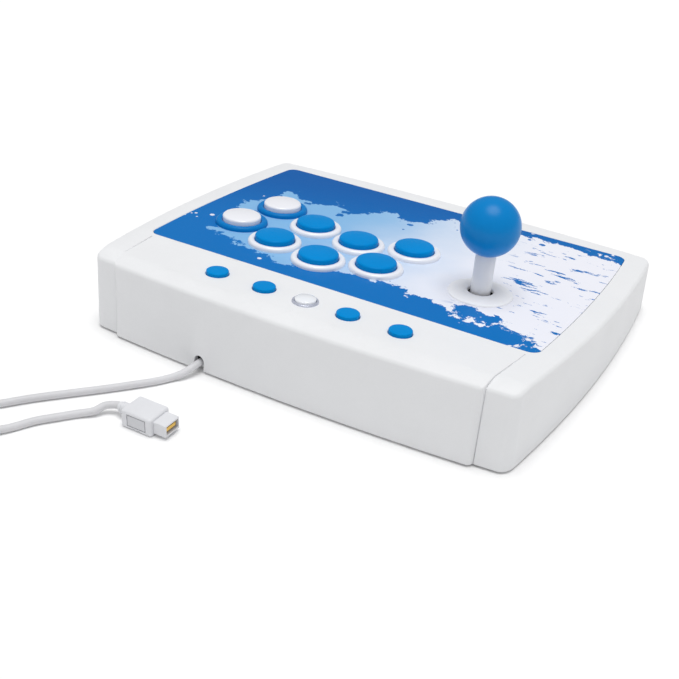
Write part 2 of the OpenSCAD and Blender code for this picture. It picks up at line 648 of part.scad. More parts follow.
module stick_gate() color([0.85, 0.87, 0.9]) at_stick() difference() {
  union() {
    translate([0, 0, -gate_top - gate_t]) linear_extrude(gate_t)
      polygon([for (p = frame(gate_box, -gate_box, gate_box, 3, 6, 1)) [p[0], p[1]]]);
    for (x = [-gate_post, gate_post]) for (y = [-gate_post, gate_post]) translate([x, y, -gate_top - seam])
      cylinder(r = 2.2, h = gate_top - switch_board_top - switch_board_t + seam, $fn = 32);
  }
  translate([0, 0, -gate_top - gate_t - over]) linear_extrude(gate_t + 2 * over) square(2 * gate_half, center = true);
}

// The main board, on posts of the base plate

chip_w = 16;
chip_h = 1.8;
socket_at = 28;
socket_w = 12;
socket_d = 10;
socket_h = 6;
module main_board() color(board_green) difference() {
  union() {
    translate([board_x - board_w / 2, board_y - board_d / 2, base_top + board_lift]) cube([board_w, board_d, board_t]);
    translate([board_x - chip_w / 2, board_y - chip_w / 2, base_top + board_lift + board_t - seam]) cube([chip_w, chip_w, chip_h]);
    for (s = [-1, 1]) translate([board_x + s * socket_at - socket_w / 2, board_y - socket_d / 2, base_top + board_lift + board_t - seam])
      cube([socket_w, socket_d, socket_h]);
  }
  for (p = board_holes) translate([p[0], p[1], base_top]) cylinder(r = screw_r + seam, h = 3 * board_lift, $fn = 24);
}

module board_screws() color(steel) for (p = board_holes)
  translate([p[0], p[1], base_top + board_lift + board_t]) mirror([0, 0, 1]) screw(screw_r, head_r, head_t, board_t + 4);

// The cord: routes are chosen by hand, on the table except at the notch, over the coil and at the plug.
// Their places along Y count from the back wall.

cord_r = cord_d / 2;
table_z = cord_r + 0.05;
exit_z = notch_z;
run_out_points = [[cord_x, -17, exit_z], [cord_x, -9, exit_z], [52.7, 0.6, exit_z], [53.7, 6.6, 5], [56.2, 12, 3.4],
  [60.2, 17.5, table_z], [66.1, 26.5, table_z], [81.5, 44.9, table_z], [97.3, 62.3, table_z], [109.2, 75.7, table_z],
  [119.6, 89.1, table_z], [128.5, 99.5, table_z], [138.4, 107, table_z]];
run_back_points = [[111.4, 120.7, 5.5], [105.5, 111.8, 3.2], [99.6, 102.9, table_z], [93.2, 91, table_z], [86.8, 82.6, table_z],
  [79.4, 73.5, table_z], [72.9, 67.4, 3], [69.4, 61.8, 4.8]];
function from_wall(pts) = [for (p = pts) p + [0, half_d, 0]];

function catmull(a, b, c, d, t) = 0.5 * (2 * b + (c - a) * t + (2 * a - 5 * b + 4 * c - d) * t * t + (3 * b - a - 3 * c + d) * t * t * t);
function smooth(p, n) = [for (i = [0:len(p) - 2]) for (k = [0:(i == len(p) - 2 ? n : n - 1)])
  catmull(p[max(i - 1, 0)], p[i], p[i + 1], p[min(i + 2, len(p) - 1)], k / n)];

// The coil: a spiral in on the lower layer and out again on the upper one
coil_off = 140.6;
coil_x = 149;
coil_y = half_d + coil_off;
coil_mid_r = 24.5;
coil_turns = 4.7;
coil_gap = 0.55;
coil_step = cord_d + coil_gap;
tie_t = 0.6;
coil_low = cord_r + tie_t + slip / 2;
coil_start = -84;
coil_in_r = coil_mid_r - coil_turns / 4 * coil_step;
coil_n = round(24 * coil_turns);
function coil_point(i) = let (turn = coil_turns * i / coil_n, back = abs(turn - coil_turns / 2), a = coil_start + 360 * turn,
    r = coil_in_r + coil_step * back, climb = min(max((turn - coil_turns / 2) * 2 + 0.5, 0), 1))
  [coil_x + r * cos(a), coil_y + r * sin(a), coil_low + coil_step * climb * climb * (3 - 2 * climb)];
coil_run = [for (i = [0:coil_n]) coil_point(i)];
coil_in_dir = unit(coil_run[1] - coil_run[0]);
coil_out_dir = unit(coil_run[coil_n] - coil_run[coil_n - 1]);
coil_in = coil_run[0] - coil_in_dir * cord_d;
coil_out = coil_run[coil_n] + coil_out_dir * cord_d;
coil_path = concat([coil_in], coil_run, [coil_out]);
coil_self_gap = min([for (i = [0:coil_n]) for (j = [i + 6:1:coil_n]) norm(coil_run[i] - coil_run[j])]) - cord_d;
echo(coil_least_gap_mm = coil_self_gap);

module cord_run_out() color([0.85, 0.85, 0.86])
  tube(smooth(concat(from_wall(run_out_points), [for (k = [2:-1:0]) coil_in - k * cord_d * coil_in_dir]), 2), cord_r, 8);

module cord_coil() color([0.85, 0.85, 0.86]) tube(coil_path, cord_r, 6);

module cord_run_back() color([0.85, 0.85, 0.86])
  tube(smooth(concat([for (k = [0:2]) coil_out + k * cord_d * coil_out_dir], from_wall(run_back_points),
    [for (x = [boot_l + cord_r, boot_l, boot_l / 2, 0]) [plug_x + x, plug_y, plug_axis]]), 2), cord_r, 8);

tie_at = 60;
tie_w = 7;
tie_in_r = coil_in_r - cord_r - slip;
tie_out_r = coil_in_r + coil_step * coil_turns / 2 + cord_r + slip;
tie_high = coil_low + coil_step + cord_r + slip;
module coil_tie() color([0.9, 0.9, 0.92]) translate([coil_x, coil_y, 0]) rotate([0, 0, tie_at])
  translate([0, tie_w / 2, 0]) rotate([90, 0, 0]) linear_extrude(tie_w) difference() {
    polygon([for (p = frame((tie_out_r - tie_in_r) / 2 + tie_t, 0, tie_high + tie_t, 2, 4, 1)) [p[0] + (tie_in_r + tie_out_r) / 2, p[1]]]);
    polygon([for (p = frame((tie_out_r - tie_in_r) / 2, tie_t, tie_high, 1.2, 4, 1)) [p[0] + (tie_in_r + tie_out_r) / 2, p[1]]]);
  }

clamp_w = 14;
clamp_d = 12;
clamp_gap = 1.5;
clamp_y = half_d - wall - clamp_gap - clamp_d;
module cord_clamp() color(dark_plastic) difference() {
  translate([cord_x - clamp_w / 2, clamp_y, base_top]) cube([clamp_w, clamp_d, cord_d + 3]);
  translate([cord_x, clamp_y - over, exit_z]) rotate([-90, 0, 0]) cylinder(r = cord_r + 0.1, h = clamp_d + 2 * over, $fn = 32);
}

// The plug lies on the table, its nose to the stick's side

plug_x = 54.8;
plug_off = 58.7;
plug_y = half_d + plug_off;
plug_axis = plug_h / 2;
boot_l = 7;
latch_l = 11.6;
latch_h = 6.4;
latch_t = 1.6;
nose_l = 8;
nose_w = 12;
nose_h = 7.4;
nose_seat = 3;
latch_x = plug_x - plug_l + nose_seat + 1;
module plug_body() color([0.88, 0.88, 0.9]) difference() {
  union() {
    intersection() {
      translate([plug_x - plug_l, 0, 0]) rotate([90, 0, 90]) linear_extrude(plug_l)
        polygon([for (p = frame(plug_w / 2, 0, plug_h, 1.5, 4, 1)) [plug_y + p[0], p[1]]]);
      translate([0, 0, -over]) linear_extrude(plug_h + 2 * over)
        polygon([for (p = frame(plug_l / 2, plug_y - plug_w / 2 - over, plug_y + plug_w / 2 + over, 2.5, 4, 1)) [p[0] + plug_x - plug_l / 2, p[1]]]);
    }
    translate([plug_x - over, plug_y, plug_axis]) rotate([0, 90, 0]) cylinder(r1 = cord_r + 1.6, r2 = cord_r + 0.7, h = boot_l + over, $fn = 48);
  }
  translate([plug_x, plug_y, plug_axis]) rotate([0, 90, 0]) cylinder(r = cord_r + 0.1, h = boot_l + over, $fn = 32);
  for (s = [-1, 1]) translate([latch_x - slip, plug_y + s * plug_w / 2 - (latch_t + latch_travel + slip), plug_axis - latch_h / 2 - slip])
    cube([latch_l + 2 * slip, 2 * (latch_t + latch_travel + slip), latch_h + 2 * slip]);
  translate([plug_x - plug_l - over, plug_y - nose_w / 2 - fit, plug_axis - nose_h / 2 - fit]) cube([nose_seat + over, nose_w + 2 * fit, nose_h + 2 * fit]);
}

module plug_latch(s) color([0.82, 0.82, 0.84])
  translate([latch_x, plug_y + s * (plug_w / 2 - latch_t / 2) - latch_t / 2, plug_axis - latch_h / 2]) difference() {
    cube([latch_l, latch_t, latch_h]);
    for (i = [0:3]) translate([2.4 + 2 * i, s > 0 ? latch_t - 0.25 : -over, 1]) cube([0.8, over + 0.25, latch_h - 2]);
  }
module plug_latch_near() plug_latch(1);
module plug_latch_far() plug_latch(-1);

module plug_nose() color([0.93, 0.93, 0.94]) difference() {
  translate([plug_x - plug_l - nose_l, plug_y - nose_w / 2, plug_axis - nose_h / 2]) cube([nose_l + nose_seat, nose_w, nose_h]);
  translate([plug_x - plug_l - nose_l - over, plug_y - nose_w / 2 + 1, plug_axis - nose_h / 2 + 1]) cube([nose_l - 1 + over, nose_w - 2, nose_h - 2]);
}

module plug_contacts() color([0.85, 0.7, 0.3]) translate([plug_x - plug_l - nose_l + 1, plug_y, plug_axis]) {
  translate([0, -nose_w / 2 + 2, -1]) cube([nose_l - 2, nose_w - 4, 2]);
  for (i = [-1:1]) for (s = [-1, 1]) translate([0.6, i * 2.4 - 0.6, s * 1.1 - 0.3]) cube([nose_l - 2.6, 1.2, 0.6]);
}

top_shell();
art_panel();
base_plate();
rubber_feet();
base_screws();
for (k = [0:7]) button_body(k);
for (k = [0:7]) button_cap(k);
button_nuts();
button_switches();
for (k = [0:3]) menu_key(k);
home_key();
home_ring();
key_membrane();
menu_board();
menu_screws();
ball_top();
stick_shaft();
shaft_cover();
stick_collar();
mount_plate();
mount_screws();
stick_housing();
pivot_ring();
stick_hub();
stick_actuator();
centring_spring();
e_clip();
stick_switches();
switch_board();
stick_gate();
main_board();
board_screws();
cord_clamp();
cord_run_out();
cord_coil();
cord_run_back();
coil_tie();
plug_body();
plug_nose();
plug_contacts();
plug_latch_near();
plug_latch_far();
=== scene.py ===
"""Dresses the arcade fight stick: moulded case, printed panel, push buttons, ball-top stick and corded plug.

Everything is in metres, in the frame of the solids: X to the player's right, +Y to the back wall, Z up.
"""

from __future__ import annotations

import logging
import math
from dataclasses import dataclass, field
from enum import Enum

import bmesh
import bpy
from mathutils import Matrix, Vector
from mathutils.geometry import delaunay_2d_cdt


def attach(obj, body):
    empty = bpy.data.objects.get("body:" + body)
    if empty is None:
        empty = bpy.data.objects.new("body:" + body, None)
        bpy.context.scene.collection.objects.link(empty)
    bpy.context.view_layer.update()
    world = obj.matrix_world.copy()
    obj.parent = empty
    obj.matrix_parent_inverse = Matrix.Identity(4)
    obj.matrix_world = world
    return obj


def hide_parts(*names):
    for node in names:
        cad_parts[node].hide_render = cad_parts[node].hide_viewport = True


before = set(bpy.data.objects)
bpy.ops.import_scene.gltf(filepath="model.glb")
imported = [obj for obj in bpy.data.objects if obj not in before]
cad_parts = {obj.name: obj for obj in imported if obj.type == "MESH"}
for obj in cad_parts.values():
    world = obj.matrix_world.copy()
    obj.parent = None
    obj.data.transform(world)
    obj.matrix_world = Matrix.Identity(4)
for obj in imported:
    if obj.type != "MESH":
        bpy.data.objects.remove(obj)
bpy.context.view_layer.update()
log = logging.getLogger("fight_stick")

MM = 0.001
SAME_SPOT = 1e-7
Point = tuple[float, float, float]
Flat = tuple[float, float]
Edges = tuple[float, float, float]
Piece = bpy.types.Object
Material = bpy.types.Material
Node = bpy.types.Node
Socket = bpy.types.NodeSocket
LEVEL: Edges = (0.0, 0.0, 0.0)


def linear(red: float, green: float, blue: float) -> tuple[float, float, float, float]:
    """Turns a display colour of 0 to 255 into Blender's linear colour.

    Args:
        red: Red share, 0 to 255.
        green: Green share, 0 to 255.
        blue: Blue share, 0 to 255.

    Returns:
        The colour as four numbers, alpha 1.
    """
    out = []
    for share in (red, green, blue):
        s = share / 255.0
        out.append(s / 12.92 if s <= 0.04045 else ((s + 0.055) / 1.055) ** 2.4)
    return (out[0], out[1], out[2], 1.0)


class Graph:
    """A short way to write a material's or a geometry's node tree."""

    def __init__(self, tree: bpy.types.NodeTree) -> None:
        """Keeps the tree that nodes go into."""
        self.tree = tree

    def add(self, kind: str, settings: dict | None = None, **inputs: object) -> Node:
        """Adds a node, sets its properties and its inputs.

        Args:
            kind: Blender's node type.
            settings: Properties of the node.
            **inputs: Values or sockets by input name, with _ for a space.

        Returns:
            The new node.
        """
        node = self.tree.nodes.new(kind)
        for key, value in (settings or {}).items():
            setattr(node, key, value)
        self.set(node, **inputs)
        return node

    def set(self, node: Node, **inputs: object) -> None:
        """Sets inputs by name, with _ for a space."""
        for key, value in inputs.items():
            self.feed(node, key.replace("_", " "), value)

    def feed(self, node: Node, name: str | int, value: object) -> None:
        """Sets one input to a value, or links a socket to it."""
        socket = node.inputs[name]
        if isinstance(value, Socket):
            self.tree.links.new(value, socket)
        else:
            socket.default_value = value

    def math(self, operation: str, a: object, b: object = 0.0, clamp: bool = False) -> Socket:
        """Adds a Math node and returns its output."""
        node = self.add("ShaderNodeMath", {"operation": operation, "use_clamp": clamp})
        self.feed(node, 0, a)
        self.feed(node, 1, b)
        return node.outputs[0]

    def plus(self, a: object, b: object) -> Socket:
        """Adds two values."""
        return self.math("ADD", a, b)

    def minus(self, a: object, b: object) -> Socket:
        """Takes the second value from the first."""
        return self.math("SUBTRACT", a, b)

    def times(self, a: object, b: object) -> Socket:
        """Multiplies two values."""
        return self.math("MULTIPLY", a, b)

    def blend(self, share: object, a: object, b: object) -> Socket:
        """Mixes two colours by a share and returns the colour."""
        colour_a, colour_b, colour_out = 6, 7, 2
        node = self.add("ShaderNodeMix", {"data_type": "RGBA"})
        for name, value in ((0, share), (colour_a, a), (colour_b, b)):
            self.feed(node, name, value)
        return node.outputs[colour_out]

    def ramp(self, value: object, low: float, high: float) -> Socket:
        """Maps a value from low..high to 0..1, smoothly and clamped."""
        node = self.add("ShaderNodeMapRange", {"interpolation_type": "SMOOTHSTEP"})
        for name, given in enumerate((value, low, high)):
            self.feed(node, name, given)
        return node.outputs[0]

    def noise(self, where: object, scale: float, detail: float = 3.0, rough: float = 0.5) -> Socket:
        """Adds a Noise texture and returns its value."""
        node = self.add("ShaderNodeTexNoise", Vector=where, Scale=scale, Detail=detail, Roughness=rough)
        return node.outputs[0]

    def bump(self, strength: float, depth: float, height: object) -> Socket:
        """Adds a Bump node and returns its normal."""
        return self.add("ShaderNodeBump", Strength=strength, Distance=depth, Height=height).outputs[0]


Started = tuple[Material, Graph, Node, Socket]


def start_material(name: str) -> Started:
    """Makes the material to which a finish adds its nodes.

    Args:
        name: The material's name.

    Returns:
        The material, its graph, its shader node and the piece's own coordinates.
    """
    mat = bpy.data.materials.new(name)
    mat.use_nodes = True
    g = Graph(mat.node_tree)
    return mat, g, g.tree.nodes["Principled BSDF"], g.add("ShaderNodeTexCoord").outputs["Object"]


@dataclass(frozen=True)
class Moulded:
    """A moulded plastic or rubber with a fine surface grain, faint handling marks and cloudy variation."""

    name: str
    colour: Point
    rough: float = 0.35
    grain: float = 0.05
    grain_scale: float = 2200.0
    grain_depth: float = 0.2 * MM
    coat: float = 0.0
    coat_rough: float = 0.06
    drift: float = 0.03
    shine: float = 0.5
    shine_drift: float = 0.06
    ior: float = 1.46
    translucent: float = 0.0
    light_depth: float = 2 * MM
    cloud_scale: float = 28.0
    mottle_scale: float = 420.0
    smear_scale: float = 75.0

    def build(self) -> Material:
        """Makes the material and returns it."""
        mat, g, body, at = start_material(self.name)
        base = linear(*self.colour)
        dark = tuple(c * (1 - 2.2 * self.drift) for c in base[:3]) + (1.0,)
        light = tuple(min(c * (1 + self.drift), 1.0) for c in base[:3]) + (1.0,)
        cloud = g.noise(at, self.cloud_scale, 3.0, 0.55)
        mottle = g.noise(at, self.mottle_scale, 2.0, 0.6)
        shade = g.plus(g.times(cloud, 0.75), g.times(mottle, 0.25))
        smear = g.times(g.noise(at, self.smear_scale, 5.0, 0.65), self.shine_drift)
        grain = g.noise(at, self.grain_scale, 1.0)
        g.set(body, Base_Color=g.blend(g.ramp(shade, 0.3, 0.7), dark, light),
              Roughness=g.math("ADD", self.rough - self.shine_drift / 2, smear, True),
              Normal=g.bump(self.grain, self.grain_depth, grain), IOR=self.ior, Specular_IOR_Level=self.shine,
              Coat_Weight=self.coat, Coat_Roughness=self.coat_rough)
        if self.translucent > 0:
            g.set(body, Subsurface_Weight=self.translucent, Subsurface_Radius=(self.light_depth,) * 3,
                  Subsurface_Scale=0.6)
        return mat


@dataclass(frozen=True)
class Metal:
    """A plated or turned metal with fine lines round the piece."""

    name: str
    colour: Point
    rough: float = 0.25
    rough_drift: float = 0.18
    lines: float = 0.15
    line_scale: float = 900.0
    line_depth: float = 0.1 * MM
    stretch: Point = (1.0, 1.0, 14.0)
    dark_share: float = 0.82
    metallic: float = 1.0

    def build(self) -> Material:
        """Makes the material and returns it."""
        mat, g, body, at = start_material(self.name)
        stretched = g.add("ShaderNodeMapping", Vector=at, Scale=self.stretch).outputs[0]
        streak = g.noise(stretched, self.line_scale, 2.0, 0.6)
        base = linear(*self.colour)
        dark = tuple(c * self.dark_share for c in base[:3]) + (1.0,)
        g.set(body, Base_Color=g.blend(streak, dark, base), Metallic=self.metallic,
              Roughness=g.plus(self.rough, g.times(streak, self.rough_drift)),
              Normal=g.bump(self.lines, self.line_depth, streak))
        return mat


@dataclass(frozen=True)
class CircuitBoard:
    """Green solder mask over thin copper tracks."""

    name: str = "solder_mask"
    mask: Point = (18, 84, 52)
    track: Point = (38, 122, 74)
    track_scale: float = 260.0

    def build(self) -> Material:
        """Makes the material and returns it."""
        mat, g, body, at = start_material(self.name)
        cells = g.add("ShaderNodeTexVoronoi", {"feature": "DISTANCE_TO_EDGE", "distance": "EUCLIDEAN"},
                      Vector=at, Scale=self.track_scale)
        track = g.ramp(cells.outputs["Distance"], 0.10, 0.05)
        g.set(body, Base_Color=g.blend(track, linear(*self.mask), linear(*self.track)), Roughness=0.32,
              Normal=g.bump(0.3, 0.1 * MM, track))
        return mat


@dataclass(frozen=True)
class BrushPrint:
    """The panel's satin print: a broad pale brush sweep with torn edges and flecks over deep blue."""

    name: str = "brush_print"
    deep: Point = (0, 112, 190)
    deeper: Point = (0, 92, 170)
    sky: Point = (132, 184, 228)
    pale: Point = (238, 239, 247)
    sweep_y: float = -18 * MM
    sweep_fall: float = -0.13
    wave_bend: float = 17.0
    wave_high: float = 22 * MM
    half: float = 44 * MM
    half_grow: float = 30 * MM
    tear_reach: float = 85 * MM
    rag_reach: float = 20 * MM
    torn: float = 0.6 * MM
    end_x: Flat = (104.5 * MM, 103.5 * MM)
    stroke_turn: float = 0.42
    stroke_stretch: float = 3.4

    def sweep(self, g: Graph, at: object, x: object, y: object) -> tuple[Socket, Socket]:
        """The share that the sweep covers, and the distance past its torn edge."""
        tear = g.times(g.minus(g.noise(at, 34.0, 8.0, 0.62), 0.5), self.tear_reach)
        rag = g.times(g.minus(g.noise(at, 150.0, 6.0, 0.7), 0.5), self.rag_reach)
        ragged = g.plus(tear, rag)
        wave = g.times(g.math("SINE", g.times(x, self.wave_bend)), self.wave_high)
        off = g.minus(g.plus(y, -self.sweep_y), g.plus(g.times(x, self.sweep_fall), wave))
        half = g.plus(self.half, g.times(g.ramp(x, 100 * MM, -130 * MM), self.half_grow))
        edge = g.minus(g.plus(g.math("ABSOLUTE", off), ragged), half)
        ending = g.ramp(g.plus(x, g.times(ragged, 1.2)), *self.end_x)
        return g.times(g.ramp(edge, self.torn, -self.torn), ending), edge

    def build(self) -> Material:
        """Makes the material and returns it."""
        mat, g, body, at = start_material(self.name)
        deep, deeper, sky, pale = (linear(*c) for c in (self.deep, self.deeper, self.sky, self.pale))
        x, y = g.add("ShaderNodeSeparateXYZ", Vector=at).outputs[:2]
        cover, edge = self.sweep(g, at, x, y)
        along = g.plus(x, g.times(g.noise(at, 22.0, 4.0), 50 * MM))
        tone = g.blend(g.ramp(along, 85 * MM, -55 * MM), sky, pale)
        down = g.plus(g.times(y, -1.0), g.times(x, 0.35))
        ground = g.blend(g.ramp(down, 10 * MM, 140 * MM), deep, deeper)
        strokes = g.add("ShaderNodeMapping", Vector=at, Rotation=(0.0, 0.0, self.stroke_turn),
                        Scale=(1.0, self.stroke_stretch, 1.0)).outputs[0]
        bristles = g.ramp(g.noise(strokes, 58.0, 7.0, 0.68), 0.594, 0.602)
        inner = g.times(bristles, g.ramp(x, -55 * MM, -85 * MM))
        colour = g.blend(g.times(inner, cover), g.blend(cover, ground, tone), deep)
        drops = g.add("ShaderNodeTexVoronoi", {"feature": "F1"}, Vector=at, Scale=150.0).outputs["Distance"]
        size = g.times(g.ramp(g.noise(at, 40.0, 2.0), 0.50, 0.72), 0.34)
        near_edge = g.ramp(g.math("ABSOLUTE", edge), 20 * MM, 4 * MM)
        fleck = g.times(g.math("LESS_THAN", drops, size), g.math("GREATER_THAN", near_edge, 0.35))
        colour = g.blend(g.times(fleck, 0.95), colour, g.blend(cover, pale, deep))
        haze = g.times(g.noise(at, 60.0, 4.0, 0.6), 0.08)
        g.set(body, Base_Color=colour, Roughness=g.plus(0.34, haze), Specular_IOR_Level=0.12,
              Normal=g.bump(0.04, 0.2 * MM, g.noise(at, 1500.0, 1.0)))
        return mat


@dataclass(frozen=True)
class ClearDome:
    """Clear plastic over a pale backing, as one glossy, nearly white surface."""

    name: str = "clear_plastic"
    dim: Point = (240, 245, 254)
    bright: Point = (252, 253, 255)

    def build(self) -> Material:
        """Makes the material and returns it."""
        mat, g, body, at = start_material(self.name)
        cloud = g.noise(at, 260.0, 3.0, 0.6)
        g.set(body, Base_Color=g.blend(cloud, linear(*self.dim), linear(*self.bright)), Roughness=0.05,
              IOR=1.49, Coat_Weight=1.0, Coat_Roughness=0.02)
        return mat


class Look(Enum):
    """Every finish of the object, with the record's slot that it belongs to."""

    CASE = (Moulded("case_white", (236, 237, 239), rough=0.45, grain_scale=1800.0, drift=0.008, shine=0.25),
            "shell_plastic")
    BASE = (Moulded("base_white", (232, 233, 235), rough=0.5, grain=0.12, grain_scale=900.0, drift=0.015),
            "base_plastic")
    PRINT = (BrushPrint(), "panel_print")
    BLUE = (Moulded("button_blue", (0, 137, 211), rough=0.36, grain=0.02, grain_scale=1500.0, drift=0.02,
                    shine=0.05), "cap_blue")
    BALL = (Moulded("ball_blue", (0, 130, 204), rough=0.3, grain=0.01, grain_scale=900.0, drift=0.015,
                    shine=0.2), "cap_blue")
    RIM_BLUE = (Moulded("rim_blue", (0, 122, 197), rough=0.34, grain=0.02, grain_scale=1500.0, drift=0.02,
                        shine=0.12), "cap_blue")
    WHITE = (Moulded("button_white", (245, 246, 252), rough=0.26, grain=0.02, grain_scale=1500.0, coat=0.3,
                     drift=0.008), "cap_white")
    # Painted light: the shaft cover's and collar's white is set brighter than the buttons' white, to lighten
    # the shaft cover where the ball's shadow falls on it.
    STICK_WHITE = (Moulded("stick_white", (250, 251, 255), rough=0.34, grain=0.02, grain_scale=1500.0,
                           coat=0.1, drift=0.006, shine=0.4), "cap_white")
    CLEAR = (ClearDome(), "home_clear")
    CHROME = (Metal("ring_plated", (222, 226, 242), rough=0.16, lines=0.05, metallic=0.45), "ring_chrome")
    STEEL = (Metal("plated_steel", (184, 186, 190), rough=0.24), "steel_parts")
    BLACK = (Moulded("works_black", (40, 40, 43), rough=0.45, grain=0.1, grain_scale=1200.0, drift=0.06),
             "black_plastic")
    WORKS_WHITE = (Moulded("works_white", (226, 226, 224), rough=0.42, grain=0.08, grain_scale=1200.0,
                           drift=0.02), "white_plastic")
    SILICONE = (Moulded("key_silicone", (200, 200, 196), rough=0.6, grain=0.1, grain_scale=900.0,
                        translucent=0.2), "silicone")
    BOARD = (CircuitBoard(), "board")
    RUBBER = (Moulded("rubber_black", (34, 34, 36), rough=0.8, grain=0.35, grain_scale=700.0, drift=0.12),
              "foot_rubber")
    CORD = (Moulded("jacket_grey", (214, 214, 217), rough=0.48, grain=0.12, grain_scale=1100.0, drift=0.02),
            "cord_jacket")
    TIE = (Moulded("strap_nylon", (228, 229, 232), rough=0.5, grain=0.2, grain_scale=800.0), "tie_plastic")
    PLUG = (Moulded("plug_grey", (226, 227, 231), rough=0.4, grain=0.08, grain_scale=1400.0, drift=0.015),
            "plug_plastic")
    PLUG_TOP = (Moulded("plug_top", (212, 213, 217), rough=0.42, grain=0.1, grain_scale=1400.0, drift=0.02),
                "plug_plastic")
    GILT = (Metal("gilt_contact", (226, 186, 96), rough=0.22, lines=0.05), "contact_metal")

    def material(self) -> Material:
        """Returns the finish's material, made on first use."""
        found = bpy.data.materials.get(self.value[0].name)
        return found or self.value[0].build()

    def slot(self) -> str:
        """Returns the record's slot."""
        return self.value[1]


def put_in_scene(name: str, data: bpy.types.ID) -> Piece:
    """Makes an object of some data and links it to the scene."""
    piece = bpy.data.objects.new(name, data)
    bpy.context.scene.collection.objects.link(piece)
    return piece


def mesh_piece(name: str, points: list, faces: list, edges: list | None = None) -> Piece:
    """Makes a mesh object from points and faces, or from points and edges."""
    mesh = bpy.data.meshes.new(name)
    mesh.from_pydata([tuple(p) for p in points], edges or [], [tuple(f) for f in faces])
    mesh.validate()
    return put_in_scene(name, mesh)


def ring_skin(name: str, rings: list, closed: bool = False, roof: list[Point] | None = None) -> Piece:
    """Joins rings of equally many points into one skin.

    Args:
        name: The piece's name.
        rings: Rings of points, anticlockwise seen from the last one.
        closed: True where the last ring joins the first, as in a tube with a bore.
        roof: Points inside the last ring through which a curved top goes.

    Returns:
        The mesh object.
    """
    count, points, faces = len(rings[0]), [p for r in rings for p in r], []
    levels = len(rings) if closed else len(rings) - 1
    for k in range(levels):
        low, high = k * count, ((k + 1) % len(rings)) * count
        for i in range(count):
            j = (i + 1) % count
            faces.append((low + i, low + j, high + j, high + i))
    if not closed:
        faces.append(tuple(range(count - 1, -1, -1)))
        last = (len(rings) - 1) * count
        if roof:
            inside_only = 1
            loop = [(i, (i + 1) % count) for i in range(count)]
            flat = [Vector(p[:2]) for p in rings[-1] + roof]
            made = delaunay_2d_cdt(flat, loop, [], inside_only, SAME_SPOT)
            cap, sources = made[2], made[3]
            points += roof
            faces += [tuple(last + sources[i][0] for i in face) for face in cap]
        else:
            faces.append(tuple(last + i for i in range(count)))
    return mesh_piece(name, points, faces)


def lathe(name: str, profile: list[Flat], place: Matrix | None = None, steps: int = 96) -> Piece:
    """Turns a closed or axis-to-axis profile of (radius, height) about Z.

    Args:
        name: The piece's name.
        profile: Points in metres. A profile that starts and ends on the axis closes itself there.
        place: Where the turned piece goes.
        steps: Faces round the axis.

    Returns:
        The mesh object, its place in its mesh.
    """
    bm = bmesh.new()
    chain = [bm.verts.new((r, 0.0, h)) for r, h in profile]
    edges = [bm.edges.new(pair) for pair in zip(chain, chain[1:])]
    if profile[0][0] >= SAME_SPOT:
        edges.append(bm.edges.new((chain[-1], chain[0])))
    bmesh.ops.spin(bm, geom=chain + edges, cent=(0, 0, 0), axis=(0, 0, 1), angle=2 * math.pi, steps=steps,
                   use_duplicate=False)
    bmesh.ops.remove_doubles(bm, verts=bm.verts, dist=SAME_SPOT)
    bmesh.ops.recalc_face_normals(bm, faces=bm.faces)
    if place is not None:
        bm.transform(place)
    mesh = bpy.data.meshes.new(name)
    bm.to_mesh(mesh)
    bm.free()
    return put_in_scene(name, mesh)


def arc(cx: float, cy: float, r: float, start: float, end: float, steps: int) -> list[Flat]:
    """Points of an arc from one angle to another, in degrees."""
    angles = [math.radians(start + (end - start) * i / steps) for i in range(steps + 1)]
    return [(cx + r * math.cos(a), cy + r * math.sin(a)) for a in angles]


def bake(piece: Piece) -> None:
    """Replaces a piece's mesh by the result of its modifiers, and removes them."""
    bpy.context.view_layer.update()
    graph = bpy.context.evaluated_depsgraph_get()
    mesh = bpy.data.meshes.new_from_object(piece.evaluated_get(graph))
    piece.modifiers.clear()
    old = piece.data
    piece.data = mesh
    mesh.name = piece.name
    if old.users == 0:
        bpy.data.meshes.remove(old)


def carve(piece: Piece, tools: list[Piece], how: str = "DIFFERENCE") -> None:
    """Cuts tools out of a piece one by one, or joins them to it, and removes them.

    Args:
        piece: The piece to change.
        tools: The cutters or the parts to add.
        how: Blender's name of the boolean.
    """
    for tool in tools:
        cut = piece.modifiers.new("cut", "BOOLEAN")
        cut.operation, cut.solver, cut.object = how, "EXACT", tool
        bake(piece)
        bpy.data.objects.remove(tool)


def soften(piece: Piece, width: float, steps: int) -> None:
    """Rounds a piece's sharp edges and applies it."""
    edge = piece.modifiers.new("edge", "BEVEL")
    edge.width, edge.segments, edge.limit_method = width, steps, "ANGLE"
    edge.angle_limit = math.radians(35.0)
    edge.use_clamp_overlap = True
    bake(piece)


def dress(piece: Piece, look: Look, body: str, nodes: tuple[str, ...] = (),
          crease: float = 32.0) -> Piece:
    """Gives a finished piece its material, shading and body.

    Args:
        piece: The piece, its place in its mesh.
        look: Its finish.
        body: The body that it rides on.
        nodes: CAD nodes that it stands for.
        crease: Angle in degrees above which an edge shades sharp.

    Returns:
        The same piece.
    """
    if not piece.data.materials:
        piece.data.materials.append(look.material())
    if piece.type == "MESH":
        piece.data.shade_smooth()
        piece.data.set_sharp_from_angle(angle=math.radians(crease))
    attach(piece, body)
    if nodes:
        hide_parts(*nodes)
    log.info("%s rides on %s, %s", piece.name, body, look.name)
    return piece


def paint(node: str, look: Look) -> None:
    """Gives a CAD node its finish."""
    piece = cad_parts[node]
    piece.data.materials.clear()
    piece.data.materials.append(look.material())
    log.info("%s keeps its solid, %s", node, look.name)


